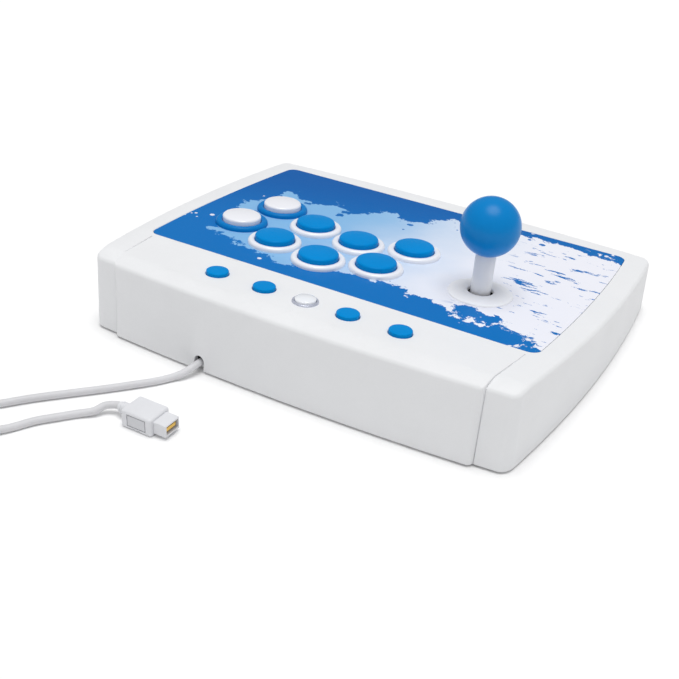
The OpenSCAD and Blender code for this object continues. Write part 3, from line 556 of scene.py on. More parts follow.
def block(name: str, low: Point, high: Point) -> Piece:
    """Makes a rectangular cutter or bar between two corners."""
    (a, b, c), (d, e, f) = low, high
    points = [(a, b, c), (d, b, c), (d, e, c), (a, e, c), (a, b, f), (d, b, f), (d, e, f), (a, e, f)]
    faces = [(3, 2, 1, 0), (4, 5, 6, 7), (0, 1, 5, 4), (1, 2, 6, 5), (2, 3, 7, 6), (3, 0, 4, 7)]
    return mesh_piece(name, points, faces)


@dataclass
class PatternTree:
    """A Geometry Nodes tree with named inputs, whose instances end as one plain mesh in one finish."""

    name: str
    inputs: tuple[tuple[str, str], ...]

    def instances(self, g: Graph, given: Node) -> Node:
        """Adds the nodes from the inputs to the instances and returns the last."""
        raise NotImplementedError

    def tree(self) -> bpy.types.GeometryNodeTree:
        """Builds the tree, or finds it."""
        found = bpy.data.node_groups.get(self.name)
        if found:
            return found
        tree = bpy.data.node_groups.new(self.name, "GeometryNodeTree")
        for label, kind in (("Geometry", "Geometry"), *self.inputs, ("Finish", "Material")):
            tree.interface.new_socket(label, in_out="INPUT", socket_type=f"NodeSocket{kind}")
        tree.interface.new_socket("Geometry", in_out="OUTPUT", socket_type="NodeSocketGeometry")
        g = Graph(tree)
        given = g.add("NodeGroupInput")
        real = g.add("GeometryNodeRealizeInstances", Geometry=self.instances(g, given).outputs[0])
        last = g.add("GeometryNodeSetMaterial", Geometry=real.outputs[0], Material=given.outputs["Finish"])
        g.add("NodeGroupOutput", Geometry=last.outputs[0])
        return tree

    def apply(self, piece: Piece, look: Look, values: dict[str, object]) -> Piece:
        """Runs the tree on a piece and leaves the result as its plain mesh.

        Args:
            piece: The piece with the points or the path.
            look: The finish of the result.
            values: What each named input gets.

        Returns:
            The same piece.
        """
        tool = piece.modifiers.new(self.name, "NODES")
        tool.node_group = self.tree()
        keys = {s.name: s.identifier for s in tool.node_group.interface.items_tree if s.in_out == "INPUT"}
        for label, value in {**values, "Finish": look.material()}.items():
            tool[keys[label]] = value
        bake(piece)
        return piece


@dataclass
class CopiesOnPoints(PatternTree):
    """Puts copies of a pattern piece on points, scaled and turned."""

    name: str = "copies_on_points"
    inputs: tuple[tuple[str, str], ...] = (("Pattern", "Object"), ("Tilt", "Vector"), ("Size", "Float"))

    def instances(self, g: Graph, given: Node) -> Node:
        """Puts the pattern on each point."""
        info = g.add("GeometryNodeObjectInfo", Object=given.outputs["Pattern"])
        return g.add("GeometryNodeInstanceOnPoints", Points=given.outputs["Geometry"],
                     Instance=info.outputs["Geometry"], Rotation=given.outputs["Tilt"],
                     Scale=given.outputs["Size"])

    def spread(self, name: str, pattern: Piece, spots: list[Point], look: Look,
               tilt: Point = (0.0, 0.0, 0.0)) -> Piece:
        """Copies a pattern onto spots as one plain mesh.

        Args:
            name: The new piece's name.
            pattern: The piece to copy, which is removed.
            spots: Where the copies go.
            look: Their finish.
            tilt: Turn of each copy in radians.

        Returns:
            The mesh object.
        """
        piece = self.apply(mesh_piece(name, spots, []), look, {"Pattern": pattern, "Tilt": tilt, "Size": 1.0})
        bpy.data.objects.remove(pattern)
        return piece


@dataclass
class RingsOnPath(PatternTree):
    """Sweeps a round profile into rings spaced evenly along a path."""

    name: str = "rings_on_path"
    inputs: tuple[tuple[str, str], ...] = (
        ("Count", "Int"), ("Ring Radius", "Float"), ("Rib Radius", "Float"))

    def instances(self, g: Graph, given: Node) -> Node:
        """Puts a ring square to the path at each of its points."""
        path = g.add("GeometryNodeMeshToCurve", Mesh=given.outputs["Geometry"])
        spots = g.add("GeometryNodeCurveToPoints", Curve=path.outputs[0], Count=given.outputs["Count"])
        big, small = (g.add("GeometryNodeCurvePrimitiveCircle", Resolution=sides, Radius=given.outputs[size])
                      for sides, size in ((40, "Ring Radius"), (10, "Rib Radius")))
        rib = g.add("GeometryNodeCurveToMesh", Curve=big.outputs[0], Profile_Curve=small.outputs[0])
        return g.add("GeometryNodeInstanceOnPoints", Points=spots.outputs["Points"], Instance=rib.outputs[0],
                     Rotation=spots.outputs["Rotation"])

    def sweep(self, name: str, path: list[Point], ring: float, rib: float, look: Look) -> Piece:
        """Makes the rings as one plain mesh.

        Args:
            name: The new piece's name.
            path: Points of the path, one for each ring.
            ring: Radius of each ring.
            rib: Radius of its section.
            look: Its finish.

        Returns:
            The mesh object.
        """
        piece = mesh_piece(name, path, [], [(i, i + 1) for i in range(len(path) - 1)])
        return self.apply(piece, look, {"Count": len(path), "Ring Radius": ring, "Rib Radius": rib})


@dataclass(frozen=True)
class Walls:
    """A moulded form's edge radii, flare at the foot and lean at the head, on the ends, back and front."""

    edges: Edges
    flare: Edges = LEVEL
    lean: Edges = LEVEL
    rise: float = 0.0
    steps: int = 8

    @staticmethod
    def at(sizes: Edges, n: float) -> float:
        """A size that differs on the ends, the back and the front, at an outline's angle."""
        long_side = sizes[1] if math.sin(n) > 0 else sizes[2]
        return sizes[0] * math.cos(n) ** 2 + long_side * math.sin(n) ** 2


@dataclass
class CaseForm:
    """Sizes of the moulded case and the outlines that follow from them."""

    width: float = 294.5 * MM
    depth: float = 238 * MM
    back_h: float = 51.6 * MM
    front_h: float = 35.3 * MM
    wall: float = 2.5 * MM
    deck_under: float = 4.3 * MM
    corner: float = 6.4 * MM
    crest_corner: float = 3 * MM
    crest_rise: float = 0.9 * MM
    skin: Walls = Walls((2.2 * MM, 1.7 * MM, 3 * MM), flare=(-0.2 * MM, 1.4 * MM, 0.2 * MM),
                        lean=(1.2 * MM, 1.1 * MM, 0.4 * MM))
    crest: Walls = Walls((0.6 * MM, 1.7 * MM, 0.6 * MM), flare=(0.0, 1.4 * MM, 0.0),
                         lean=(0.0, 1.1 * MM, 0.0), rise=crest_rise)
    hollow: Walls = Walls((1.2 * MM,) * 3, lean=(0.8 * MM,) * 3, steps=4)
    crest_hollow: Walls = Walls((0.3 * MM,) * 3, rise=crest_rise, steps=2)
    end_fall: Flat = (11 * MM, 1.5 * MM)
    back_fall: Flat = (12.5 * MM, 5.0 * MM)
    bend: float = 1.6
    end_bow: float = 936 * MM
    long_bow: float = 1900 * MM
    ahead: float = 28.5 * MM
    crest_w: float = 254.5 * MM
    crest_step: float = 2.7 * MM
    hollow_step: float = 3.7 * MM
    crest_front: float = 69.7 * MM
    seam: float = 0.6 * MM
    seam_deep: float = 0.45 * MM
    seam_bite: float = 0.05 * MM
    wall_seam_deep: float = 0.9 * MM
    cutter_high: float = 3 * MM
    cutter_out: float = 9 * MM
    lift: float = 1.2 * MM
    lip: float = 0.8 * MM
    panel_w: float = 262.8 * MM
    panel_near: float = 66.3 * MM
    panel_far: float = 102.9 * MM
    panel_bow: float = 1050 * MM
    panel_r: float = 6 * MM
    recess: float = 1.7 * MM
    key_back: float = 90.8 * MM

    @property
    def slope(self) -> float:
        """The top's slope in radians."""
        return math.atan((self.back_h - self.front_h) / self.depth)

    def top(self, y: float) -> float:
        """Height of the top at a place along Y."""
        return (self.back_h + self.front_h) / 2 + y * math.tan(self.slope)

    def on_top(self, u: float, v: float, w: float = 0.0) -> Matrix:
        """The place at (u, v, w) on the sloping top, w square to it."""
        lift = Matrix.Translation((0, 0, (self.back_h + self.front_h) / 2))
        return lift @ Matrix.Rotation(self.slope, 4, "X") @ Matrix.Translation((u, v, w))

    def bowed(self, x: float, y: float) -> Flat:
        """A point moved by the bow of the four sides."""
        return (x - x / (self.width / 2) * (y + self.ahead) ** 2 / (2 * self.end_bow),
                y - y / (self.depth / 2) * x * x / (2 * self.long_bow))

    @staticmethod
    def outline(hx: float, y0: float, y1: float, r: float, nc: int, ns: int) -> list[Point]:
        """A rounded rectangle's points with their outward angles in radians, anticlockwise.

        Args:
            hx: Half its width.
            y0: Its front.
            y1: Its back.
            r: Its corners' radius.
            nc: Steps round a corner.
            ns: Steps along a side.

        Returns:
            The points as x, y and angle.
        """
        out: list[Point] = []
        corners = ((hx - r, y1 - r), (r - hx, y1 - r), (r - hx, y0 + r), (hx - r, y0 + r))
        for k, (cx, cy) in enumerate(corners):
            for i in range(nc + 1):
                a = math.radians(90 * k + 90 * i / nc)
                out.append((cx + r * math.cos(a), cy + r * math.sin(a), a))
            a = math.radians(90 * (k + 1))
            nx, ny = corners[(k + 1) % 4]
            start = (cx + r * math.cos(a), cy + r * math.sin(a))
            end = (nx + r * math.cos(a), ny + r * math.sin(a))
            for i in range(1, ns):
                out.append((*(p + (q - p) * i / ns for p, q in zip(start, end)), a))
        return out

    def moved(self, x: float, y: float, n: float, by: float) -> Flat:
        """An outline's point moved inwards and bowed."""
        return self.bowed(x - by * math.cos(n), y - by * math.sin(n))

    def seams(self) -> list[Piece]:
        """Cutters for the fine groove on each side of the middle block, on the top and down the back wall."""
        out, steps = [], 16
        back = self.depth / 2 - self.crest_step
        far = back + self.cutter_out
        for side in (-1, 1):
            low_x, high_x = sorted(side * (self.crest_w / 2 + by) for by in (-self.seam_bite, self.seam))
            top, wall = [], []
            for k in range(steps + 1):
                y = self.crest_front + self.cutter_high + (back - self.crest_front) * k / steps
                a, b = self.bowed(high_x, y), self.bowed(low_x, y)
                low = self.roof(*a, back, 0.0) - self.seam_deep
                high = low + self.cutter_high
                top.append([(*a, low), (*b, low), (*b, high), (*a, high)])
            for z, out_by in ((-MM, self.skin.flare[1]), (self.back_h + MM, -self.skin.lean[1])):
                deep = back + out_by - self.wall_seam_deep
                corners = ((low_x, deep), (high_x, deep), (high_x, far), (low_x, far))
                wall.append([(*self.bowed(x, y), z) for x, y in corners])
            out += [ring_skin("seam_top", top), ring_skin("seam_wall", wall)]
        return out

    def roof(self, x: float, y: float, back: float, rise: float) -> float:
        """Height of a form's top, which bends down near the ends and near its own back wall.

        Args:
            x: Place across the case.
            y: Place along it.
            back: The form's back wall at its middle.
            rise: How much higher the form is at the back.

        Returns:
            The height above the table.
        """
        wall = back - back / (self.depth / 2) * x * x / (2 * self.long_bow)
        end = self.bowed(self.width / 2, y)[0]
        grow = rise * (y - self.crest_front) / (self.depth / 2 - self.crest_front)
        near_end = max(0.0, 1 - (end - abs(x)) / self.end_fall[0])
        near_back = max(0.0, 1 - (wall - y) / self.back_fall[0])
        fall = self.back_fall[1] * near_back ** self.bend
        return self.top(y) + grow - self.end_fall[1] * near_end ** 2 - fall

    def form(self, name: str, pts: list[Point], walls: Walls, inside: bool = False) -> Piece:
        """A moulded form whose walls lean in from foot to head, with a rounded edge and a bent top.

        Args:
            name: The piece's name.
            pts: Its outline, with outward angles.
            walls: Its edges and walls.
            inside: True for the hollow, a wall's thickness in, which starts below the foot.

        Returns:
            The mesh object.
        """
        inset, drop, foot = (self.wall, self.deck_under, self.lift - MM) if inside else (0.0, 0.0, self.lift)
        lip, feet = self.lip, ((inset, foot),)
        if not inside:
            feet = ((lip, foot), (lip * 0.3, foot + lip * 0.35), (0.0, foot + lip))
        rings = [[(*self.moved(x, y, n, by - walls.at(walls.flare, n)), z) for x, y, n in pts]
                 for by, z in feet]
        back = max(y for _, y, _ in pts)
        for k in range(walls.steps + 1):
            a, ring = math.pi / 2 * k / walls.steps, []
            for x, y, n in pts:
                r = walls.at(walls.edges, n)
                px, py = self.moved(x, y, n, inset + walls.at(walls.lean, n) + r * (1 - math.cos(a)))
                ring.append((px, py, self.roof(px, py, back, walls.rise) - drop - r * (1 - math.sin(a))))
            rings.append(ring)
        half, front = max(x for x, _, _ in pts), min(y for _, y, _ in pts)
        margin = inset + max(walls.lean) + max(walls.edges) + 0.5 * MM
        tops = []
        for u, y in self.grid(half, front, back, margin):
            px, py = self.bowed(u, y)
            tops.append((px, py, self.roof(px, py, back, walls.rise) - drop))
        return ring_skin(name, rings, roof=tops)

    def grid(self, half: float, front: float, back: float, margin: float) -> list[Flat]:
        """Places for a curved top's points, clear of a form's edge and corners.

        Args:
            half: Half the form's width.
            front: Its front.
            back: Its back.
            margin: How far from its edge the places stay.

        Returns:
            The places before the bow.
        """
        across = self.steps_in(half, margin, self.end_fall[0])
        down = [back - (half - v) for v in self.steps_in(half, margin, self.back_fall[0])]
        out = []
        for u in across + [0.0] + [-v for v in across]:
            for y in (y for y in down if y > front + margin):
                miss = math.hypot(max(0.0, self.corner - (half - abs(u))), max(0.0, self.corner - (back - y)))
                if miss < self.corner - margin:
                    out.append((u, y))
        return out

    @staticmethod
    def steps_in(half: float, margin: float, fall: float) -> list[float]:
        """Places from an edge inwards: close ones over the fall, then broad ones."""
        past, broad, least, count, most = 2 * MM, 22 * MM, 20 * MM, 9, 12
        close = [half - margin - (fall + past - margin) * k / count for k in range(count + 1)]
        return close + [half - fall - past - broad * k for k in range(1, most)
                        if half - fall - broad * k > least]

    def main_outline(self, step: float) -> list[Point]:
        """Outline of the main form, whose back lies a step behind the middle block's."""
        return self.outline(self.width / 2, -self.depth / 2, self.depth / 2 - step, self.corner, 14, 26)

    def crest_outline(self) -> list[Point]:
        """Outline of the middle block that stands proud at the back."""
        return self.outline(self.crest_w / 2, 0.0, self.depth / 2, self.crest_corner, 8, 22)

    def panel_outline(self, gap: float) -> list[Flat]:
        """Outline of the printed panel, drawn in by a gap."""
        out = []
        for x, y, n in self.outline(self.panel_w / 2, -self.panel_far, self.panel_near, self.panel_r, 12, 24):
            px, py = x - gap * math.cos(n), y - gap * math.sin(n)
            m = py - (self.panel_near - self.panel_far) / 2
            out.append((px - px / (self.panel_w / 2) * m * m / (2 * self.panel_bow), py))
        return out


@dataclass
class Case:
    """The moulded case with its panel recess, key holes and cord notch, the print, base, feet and screws."""

    shape: CaseForm
    over: float = 2 * MM
    key_hole: float = 6.9 * MM
    key_bevel: float = 0.9 * MM
    recess_bevel: float = 0.35 * MM
    notch_x: float = 52.4 * MM
    notch_z: float = 7.35 * MM
    notch_r: float = 3.45 * MM
    foot_at: Flat = (109.25 * MM, 85 * MM)
    foot_r: float = 8 * MM
    foot_h: float = 2.2 * MM
    post_at: Flat = (123.25 * MM, 96.2 * MM)
    post_far: float = 108 * MM
    boss_r: float = 4 * MM
    pilot: float = 1.4 * MM
    button_hole: float = 14.35 * MM
    stick_hole: float = 11.5 * MM
    plate_bosses: Flat = (30 * MM, 22 * MM)
    key_board: float = 9.1 * MM
    key_boss_x: float = 74.4 * MM

    def build(self) -> None:
        """Makes the case and its trim."""
        s = self.shape
        body = s.form("case_skin", s.main_outline(s.crest_step), s.skin)
        carve(body, [s.form("crest", s.crest_outline(), s.crest)], "UNION")
        carve(body, s.seams())
        carve(body, [s.form("hollow", s.main_outline(s.hollow_step), s.hollow, True),
                     s.form("block_hollow", s.crest_outline(), s.crest_hollow, True)])
        carve(body, self.bosses(), "UNION")
        carve(body, [self.recess(), self.notch()] + self.key_drills() + self.deck_openings())
        dress(body, Look.CASE, "housing", ("top_shell",), crease=28.0)
        self.feet()
        self.screws()
        paint("art_panel", Look.PRINT)
        paint("base_plate", Look.BASE)

    def recess(self) -> Piece:
        """A cutter for the panel's seat, bevelled at its mouth."""
        s, bevel = self.shape, self.recess_bevel
        place = s.on_top(0, 0)
        levels = ((0.0, -s.recess), (0.0, -bevel), (-bevel, 0.0), (-bevel, self.over))
        rings = [[place @ Vector((*p, w)) for p in s.panel_outline(gap)] for gap, w in levels]
        return ring_skin("recess", rings)

    def notch(self) -> Piece:
        """A cutter for the round-headed notch in the back wall, through which the cord leaves."""
        r, down, near, far = self.notch_r, 8 * MM, 110 * MM, 122 * MM
        section = arc(0, 0, r, 0, 180, 24) + [(-r, -down), (r, -down)]
        rings = [[(self.notch_x + px, y, self.notch_z + pz) for px, pz in section] for y in (far, near)]
        return ring_skin("notch", rings)

    def key_drills(self) -> list[Piece]:
        """Cutters for the small keys' holes and the middle key's, with a bevel."""
        s, r, mouth = self.shape, self.key_hole, self.key_hole + self.key_bevel
        low, high = -6 * MM, 3 * MM
        section = [(0.0, low), (r, low), (r, 0.1 * MM), (mouth, 1.0 * MM), (mouth, high), (0.0, high)]
        return [lathe("drill", section, s.on_top(x, s.key_back), 48) for x in sorted((*SmallKeys(s).xs, 0.0))]

    def deck_openings(self) -> list[Piece]:
        """Cutters for the big buttons' holes and the stick's, through the deck."""
        s, stick = self.shape, BallStick(self.shape)
        low, high = -s.deck_under - MM, self.over
        holes = [(*PushButtons(s).place(k), self.button_hole) for k in range(8)]
        holes.append((stick.u, stick.v, self.stick_hole))
        return [lathe("opening", [(0.0, low), (r, low), (r, high), (0.0, high)], s.on_top(u, v), 64)
                for u, v, r in holes]

    def bosses(self) -> list[Piece]:
        """Screw posts, the stick plate's bosses and the key board's, each with its pilot hole."""
        s = self.shape
        post_seat, post_bite = 3.7 * MM, 12 * MM
        plate_drop, plate_bite = 3.5 * MM, 3.3 * MM
        key_r, key_bite = 3.5 * MM, 4 * MM
        deck = s.deck_under - 1.3 * MM
        out = [self.boss(self.boss_r, post_seat, post_bite, s.top(y) - deck, Matrix.Translation((x, y, 0)))
               for x, y in self.posts()]
        stick = BallStick(s)
        across, along = self.plate_bosses
        for du in (-across, across):
            for dv in (-along, along):
                place = s.on_top(stick.u + du, stick.v + dv)
                out.append(self.boss(self.boss_r, -s.deck_under - plate_drop, plate_bite, -deck, place))
        for u in (-self.key_boss_x, self.key_boss_x):
            out.append(self.boss(key_r, -self.key_board, key_bite, -deck, s.on_top(u, s.key_back)))
        return out

    def boss(self, r: float, low: float, bite: float, high: float, place: Matrix) -> Piece:
        """One boss with a pilot hole.

        Args:
            r: Its radius.
            low: Its seat.
            bite: Depth of its pilot hole.
            high: Its top, inside the deck.
            place: Where it goes.

        Returns:
            The mesh object.
        """
        deep, pilot = low + bite, self.pilot
        section = [(0.0, deep), (pilot, deep), (pilot, low), (r, low), (r, high), (0.0, high)]
        return lathe("boss", section, place, 28)

    def posts(self) -> list[Flat]:
        """Where the base's six screws stand."""
        x, y = self.post_at
        return [(x, y), (-x, y), (x, -y), (-x, -y), (0.0, self.post_far), (0.0, -self.post_far)]

    def feet(self) -> None:
        """Four rubber feet with a rounded edge and a moulded ring, by Geometry Nodes."""
        r, dish, edge = self.foot_r, 0.4 * MM, 0.6 * MM
        section = [(0.0, dish), (r * 0.42, dish), (r * 0.47, 0.0)] + arc(r - edge, edge, edge, -90, 0, 5)
        pattern = lathe("foot", section + [(r, self.foot_h), (0.0, self.foot_h)], None, 40)
        x, y = self.foot_at
        spots = [(px, py, 0.0) for px in (-x, x) for py in (-y, y)]
        feet = CopiesOnPoints().spread("feet_rubber", pattern, spots, Look.RUBBER)
        dress(feet, Look.RUBBER, "housing", ("rubber_feet",))

    def screws(self) -> None:
        """Six recessed base screws with a cross slot, by Geometry Nodes."""
        r, core, head_h = 2.7 * MM, 1.35 * MM, 1.3 * MM
        section = [(0.0, 0.15 * MM), (1.3 * MM, 0.15 * MM), (2.3 * MM, 0.35 * MM), (r, 0.8 * MM), (r, head_h),
                   (core, head_h), (core, 9.7 * MM), (0.0, 9.8 * MM)]
        head = lathe("head", section, None, 32)
        for turn in (0.3, 0.3 + math.pi / 2):
            slot = block("slot", (-1.5 * MM, -0.3 * MM, -MM), (1.5 * MM, 0.3 * MM, 0.75 * MM))
            slot.data.transform(Matrix.Rotation(turn, 4, "Z"))
            carve(head, [slot])
        spots = [(x, y, self.shape.lift) for x, y in self.posts()]
        screws = CopiesOnPoints().spread("case_screws", head, spots, Look.STEEL)
        dress(screws, Look.STEEL, "housing", ("base_screws",))


@dataclass
class PushButtons:
    """Eight big push buttons: turned rims on the panel and domed caps that travel in them."""

    shape: CaseForm
    cap_r: float = 12.4 * MM
    cap_h: float = 6 * MM
    cap_wall: float = 1.6 * MM
    cap_inner_h: float = 2.8 * MM
    dome: float = 0.9 * MM
    dome_up: float = 0.4 * MM
    cap_edge: float = 1.5 * MM
    skirt: float = 8 * MM
    stem_r: float = 4.5 * MM
    stem_low: float = 15.8 * MM
    gap: float = 0.3 * MM
    rim_r: float = 16.85 * MM
    rim_h: float = 2.7 * MM
    crown_r: float = 2.1 * MM
    rim_foot: float = 0.2 * MM
    barrel_wall: float = 1.45 * MM
    barrel_low: float = 19 * MM
    bore_low: float = 13.5 * MM
    base_v: float = 2.4 * MM
    lip: tuple[Flat, ...] = (
        (0.0, 1.1 * MM), (0.12 * MM, 0.6 * MM), (0.38 * MM, 0.28 * MM), (0.85 * MM, 0.08 * MM))
    near_shares: tuple[Flat, ...] = ((-0.24, 0.56), (0.68, 0.91), (1.66, 0.73), (2.62, 0.33))
    far_share: Flat = (-0.21, -1.04)
    dome_shares: tuple[float, ...] = (0.0, 0.15, 0.3, 0.45, 0.6, 0.72, 0.82)
    pitch: float = 36 * MM

    def place(self, k: int) -> Flat:
        """Where button k, from 0, stands on the top."""
        x, y = self.near_shares[k % 4]
        if k > 3:
            x, y = x + self.far_share[0], y + self.far_share[1]
        return x * self.pitch, y * self.pitch + self.base_v

    def rim_profile(self) -> list[Flat]:
        """The rim's and barrel's section, from the bore round the crown to the barrel."""
        bore, out, h, r, foot = self.cap_r + self.gap, self.rim_r, self.rim_h, self.crown_r, -self.rim_foot
        lip = [(bore + across, h - down) for across, down in self.lip]
        barrel = bore + self.barrel_wall
        return ([(bore, -self.bore_low)] + lip + arc(out - r, h - r, r, 88, 0, 9)
                + [(out, foot), (barrel, foot), (barrel, -self.barrel_low), (bore, -self.barrel_low)])

    def cap_profile(self) -> list[Flat]:
        """The cap's section, from its domed crown to its skirt."""
        r, e, top = self.cap_r, self.cap_edge, self.cap_h + self.dome_up
        inner, high = r - self.cap_wall, self.cap_inner_h
        crown = [(r * share, top - self.dome * share ** 2) for share in self.dome_shares]
        edge = arc(r - e, top - self.dome - e + 0.15 * MM, e, 74, 0, 9)
        return crown + edge + [(r, -self.skirt), (inner, -self.skirt), (inner, high), (self.stem_r, high),
                               (self.stem_r, -self.stem_low), (0.0, -self.stem_low)]

    def build(self) -> None:
        """Makes rims by Geometry Nodes, one mesh for each colour, and a cap for each body."""
        for look, picks in ((Look.WHITE, (0, 1, 2, 4, 5, 6)), (Look.RIM_BLUE, (3, 7))):
            spots = [tuple(self.shape.on_top(*self.place(k)).translation) for k in picks]
            pattern = lathe("rim", self.rim_profile())
            rims = CopiesOnPoints().spread(f"rims_{look.name.lower()}", pattern, spots, look,
                                           (self.shape.slope, 0.0, 0.0))
            dress(rims, look, "housing", tuple(f"button_body_{k + 1}" for k in picks), crease=50.0)
        for k in range(8):
            look = Look.WHITE if k % 4 == 3 else Look.BLUE
            cap = lathe(f"cap_{k + 1}", self.cap_profile(), self.shape.on_top(*self.place(k)))
            dress(cap, look, f"cap_{k + 1}", (f"button_cap_{k + 1}",), crease=50.0)


@dataclass
class SmallKeys:
    """The row of small keys and the clear middle key in its plated ring."""

    shape: CaseForm
    key_r: float = 6.6 * MM
    top_w: float = 2.385 * MM
    dome: float = 0.3 * MM
    home_r: float = 6.15 * MM
    home_w: float = 2.75 * MM
    home_dome: float = 0.75 * MM
    ring_r: Flat = (6.4 * MM, 7.7 * MM)
    ring_seat: float = 0.2 * MM
    edge: float = 0.6 * MM
    flange_out: float = 1.5 * MM
    flange_w: Flat = (-4.5 * MM, -5.7 * MM)
    foot_r: float = 3 * MM
    foot_w: float = -6.2 * MM
    dome_shares: tuple[float, ...] = (0.0, 0.2, 0.4, 0.6, 0.76, 0.86)
    xs: tuple[float, ...] = (59.4 * MM, 27.2 * MM, -27.2 * MM, -59.4 * MM)

    def key_profile(self, r: float, high: float, dome: float) -> list[Flat]:
        """A key's section, domed, with its flange under the deck."""
        e, flange, (top, under) = self.edge, r + self.flange_out, self.flange_w
        crown = [(r * share, high + dome * (1 - share ** 2)) for share in self.dome_shares]
        return crown + arc(r - e, high - e, e, 85, 0, 7) + [
            (r, top), (flange, top), (flange, under), (self.foot_r, under), (self.foot_r, self.foot_w),
            (0.0, self.foot_w)]

    def ring_profile(self) -> list[Flat]:
        """The plated ring's section, with a narrow inner bead and a rounded outer edge."""
        (bore, out), seat, low, high = self.ring_r, self.ring_seat, -4.1 * MM, 1.25 * MM
        bead, shoulder = 0.25 * MM, 0.65 * MM
        sleeve = bore + 0.3 * MM
        return ([(bore, low), (bore, high)] + arc(bore + bead, high, bead, 160, 80, 4)
                + arc(out - shoulder, 0.8 * MM, shoulder, 80, 0, 6)
                + [(out, seat), (sleeve, seat), (sleeve, low)])

    def build(self) -> None:
        """Makes the keys."""
        s = self.shape
        for k, x in enumerate(self.xs):
            key = lathe(f"key_{k + 1}", self.key_profile(self.key_r, self.top_w, self.dome),
                        s.on_top(x, s.key_back), 64)
            dress(key, Look.BLUE, f"key_{k + 1}", (f"menu_key_{k + 1}",), crease=50.0)
        middle = s.on_top(0, s.key_back)
        home = lathe("home_dome", self.key_profile(self.home_r, self.home_w, self.home_dome), middle, 64)
        dress(home, Look.CLEAR, "key_home", ("home_key",), crease=50.0)
        ring = lathe("home_trim", self.ring_profile(), middle, 72)
        dress(ring, Look.CHROME, "housing", ("home_ring",), crease=50.0)


@dataclass
class BallStick:
    """The ball-top stick: ball, shaft cover and the broad white collar at its foot."""

    shape: CaseForm
    u: float = -73.2 * MM
    v: float = 13.5 * MM
    ball_r: float = 17.5 * MM
    ball_up: float = 41.7 * MM
    ball_seat: float = 25.8 * MM
    shaft_top: float = 44 * MM
    shaft_r: float = 3.05 * MM
    cover_r: float = 6 * MM
    cover_bore: float = 3.55 * MM
    cover_low: float = -1.1 * MM
    collar_r: float = 19.3 * MM
    collar_bore: float = 7.7 * MM
    collar_high: float = 1.9 * MM
    collar_fall: float = 0.75 * MM
    collar_seat: float = -0.2 * MM
    spigot_r: Flat = (9.6 * MM, 11.3 * MM)
    spigot_low: float = -1.6 * MM

    def ball(self) -> list[Flat]:
        """The ball's section, with its bore for the cover and the shaft."""
        r, up, seat = self.ball_r, self.ball_up, self.ball_seat
        hole = self.cover_r + 0.2 * MM
        start = math.degrees(math.asin(-math.sqrt(r ** 2 - hole ** 2) / r))
        skin = arc(0.0, up, r, start, 90, 60)[:-1] + [(0.0, up + r)]
        return [(0.0, self.shaft_top), (self.shaft_r, self.shaft_top), (self.shaft_r, seat), (hole, seat),
                (hole, skin[0][1] + 0.3 * MM)] + skin[1:]

    def sleeve(self) -> list[Flat]:
        """The shaft cover's section, with its small edges and a fine line."""
        r, low, high, bore = self.cover_r, self.cover_low, self.ball_seat, self.cover_bore
        return [(bore, low), (bore, high), (r - 0.3 * MM, high), (r, high - 0.3 * MM), (r, 9 * MM),
                (r - 0.05 * MM, 8.5 * MM), (r, 8 * MM), (r, low + 0.5 * MM), (r - 0.5 * MM, low)]

    def collar(self) -> list[Flat]:
        """The collar's section: lip at the hole, shallow dome, rounded rim and the spigot in the deck."""
        c, h, seat, (inner, outer) = self.collar_r, self.collar_bore, self.collar_seat, self.spigot_r
        lip = [(h + out * MM, up * MM) for out, up in ((0.05, 1.6), (0.2, 1.82))]
        crown, span, edge = h + 1.2 * MM, c - h - 2.6 * MM, 0.9 * MM
        high, fall, low = self.collar_high, self.collar_fall, self.spigot_low
        dome = [(crown + s * span, high - fall * s ** 2) for s in (0.0, 0.2, 0.4, 0.6, 0.8, 1.0)]
        return ([(h, seat)] + lip + [(h + 0.5 * MM, high)] + dome + arc(c - edge, 0.1 * MM, edge, 76, 0, 7)
                + [(c, seat), (outer, seat), (outer, low), (inner, low), (inner, seat)])

    def build(self) -> None:
        """Makes the stick's visible pieces."""
        place = self.shape.on_top(self.u, self.v)
        ball, sleeve = lathe("ball", self.ball(), place, 128), lathe("sleeve", self.sleeve(), place, 72)
        collar = lathe("collar", self.collar(), place, 128)
        dress(ball, Look.BALL, "stick", ("ball_top",), crease=60.0)
        dress(sleeve, Look.STICK_WHITE, "stick", ("shaft_cover",), crease=50.0)
        dress(collar, Look.STICK_WHITE, "housing", ("stick_collar",), crease=40.0)


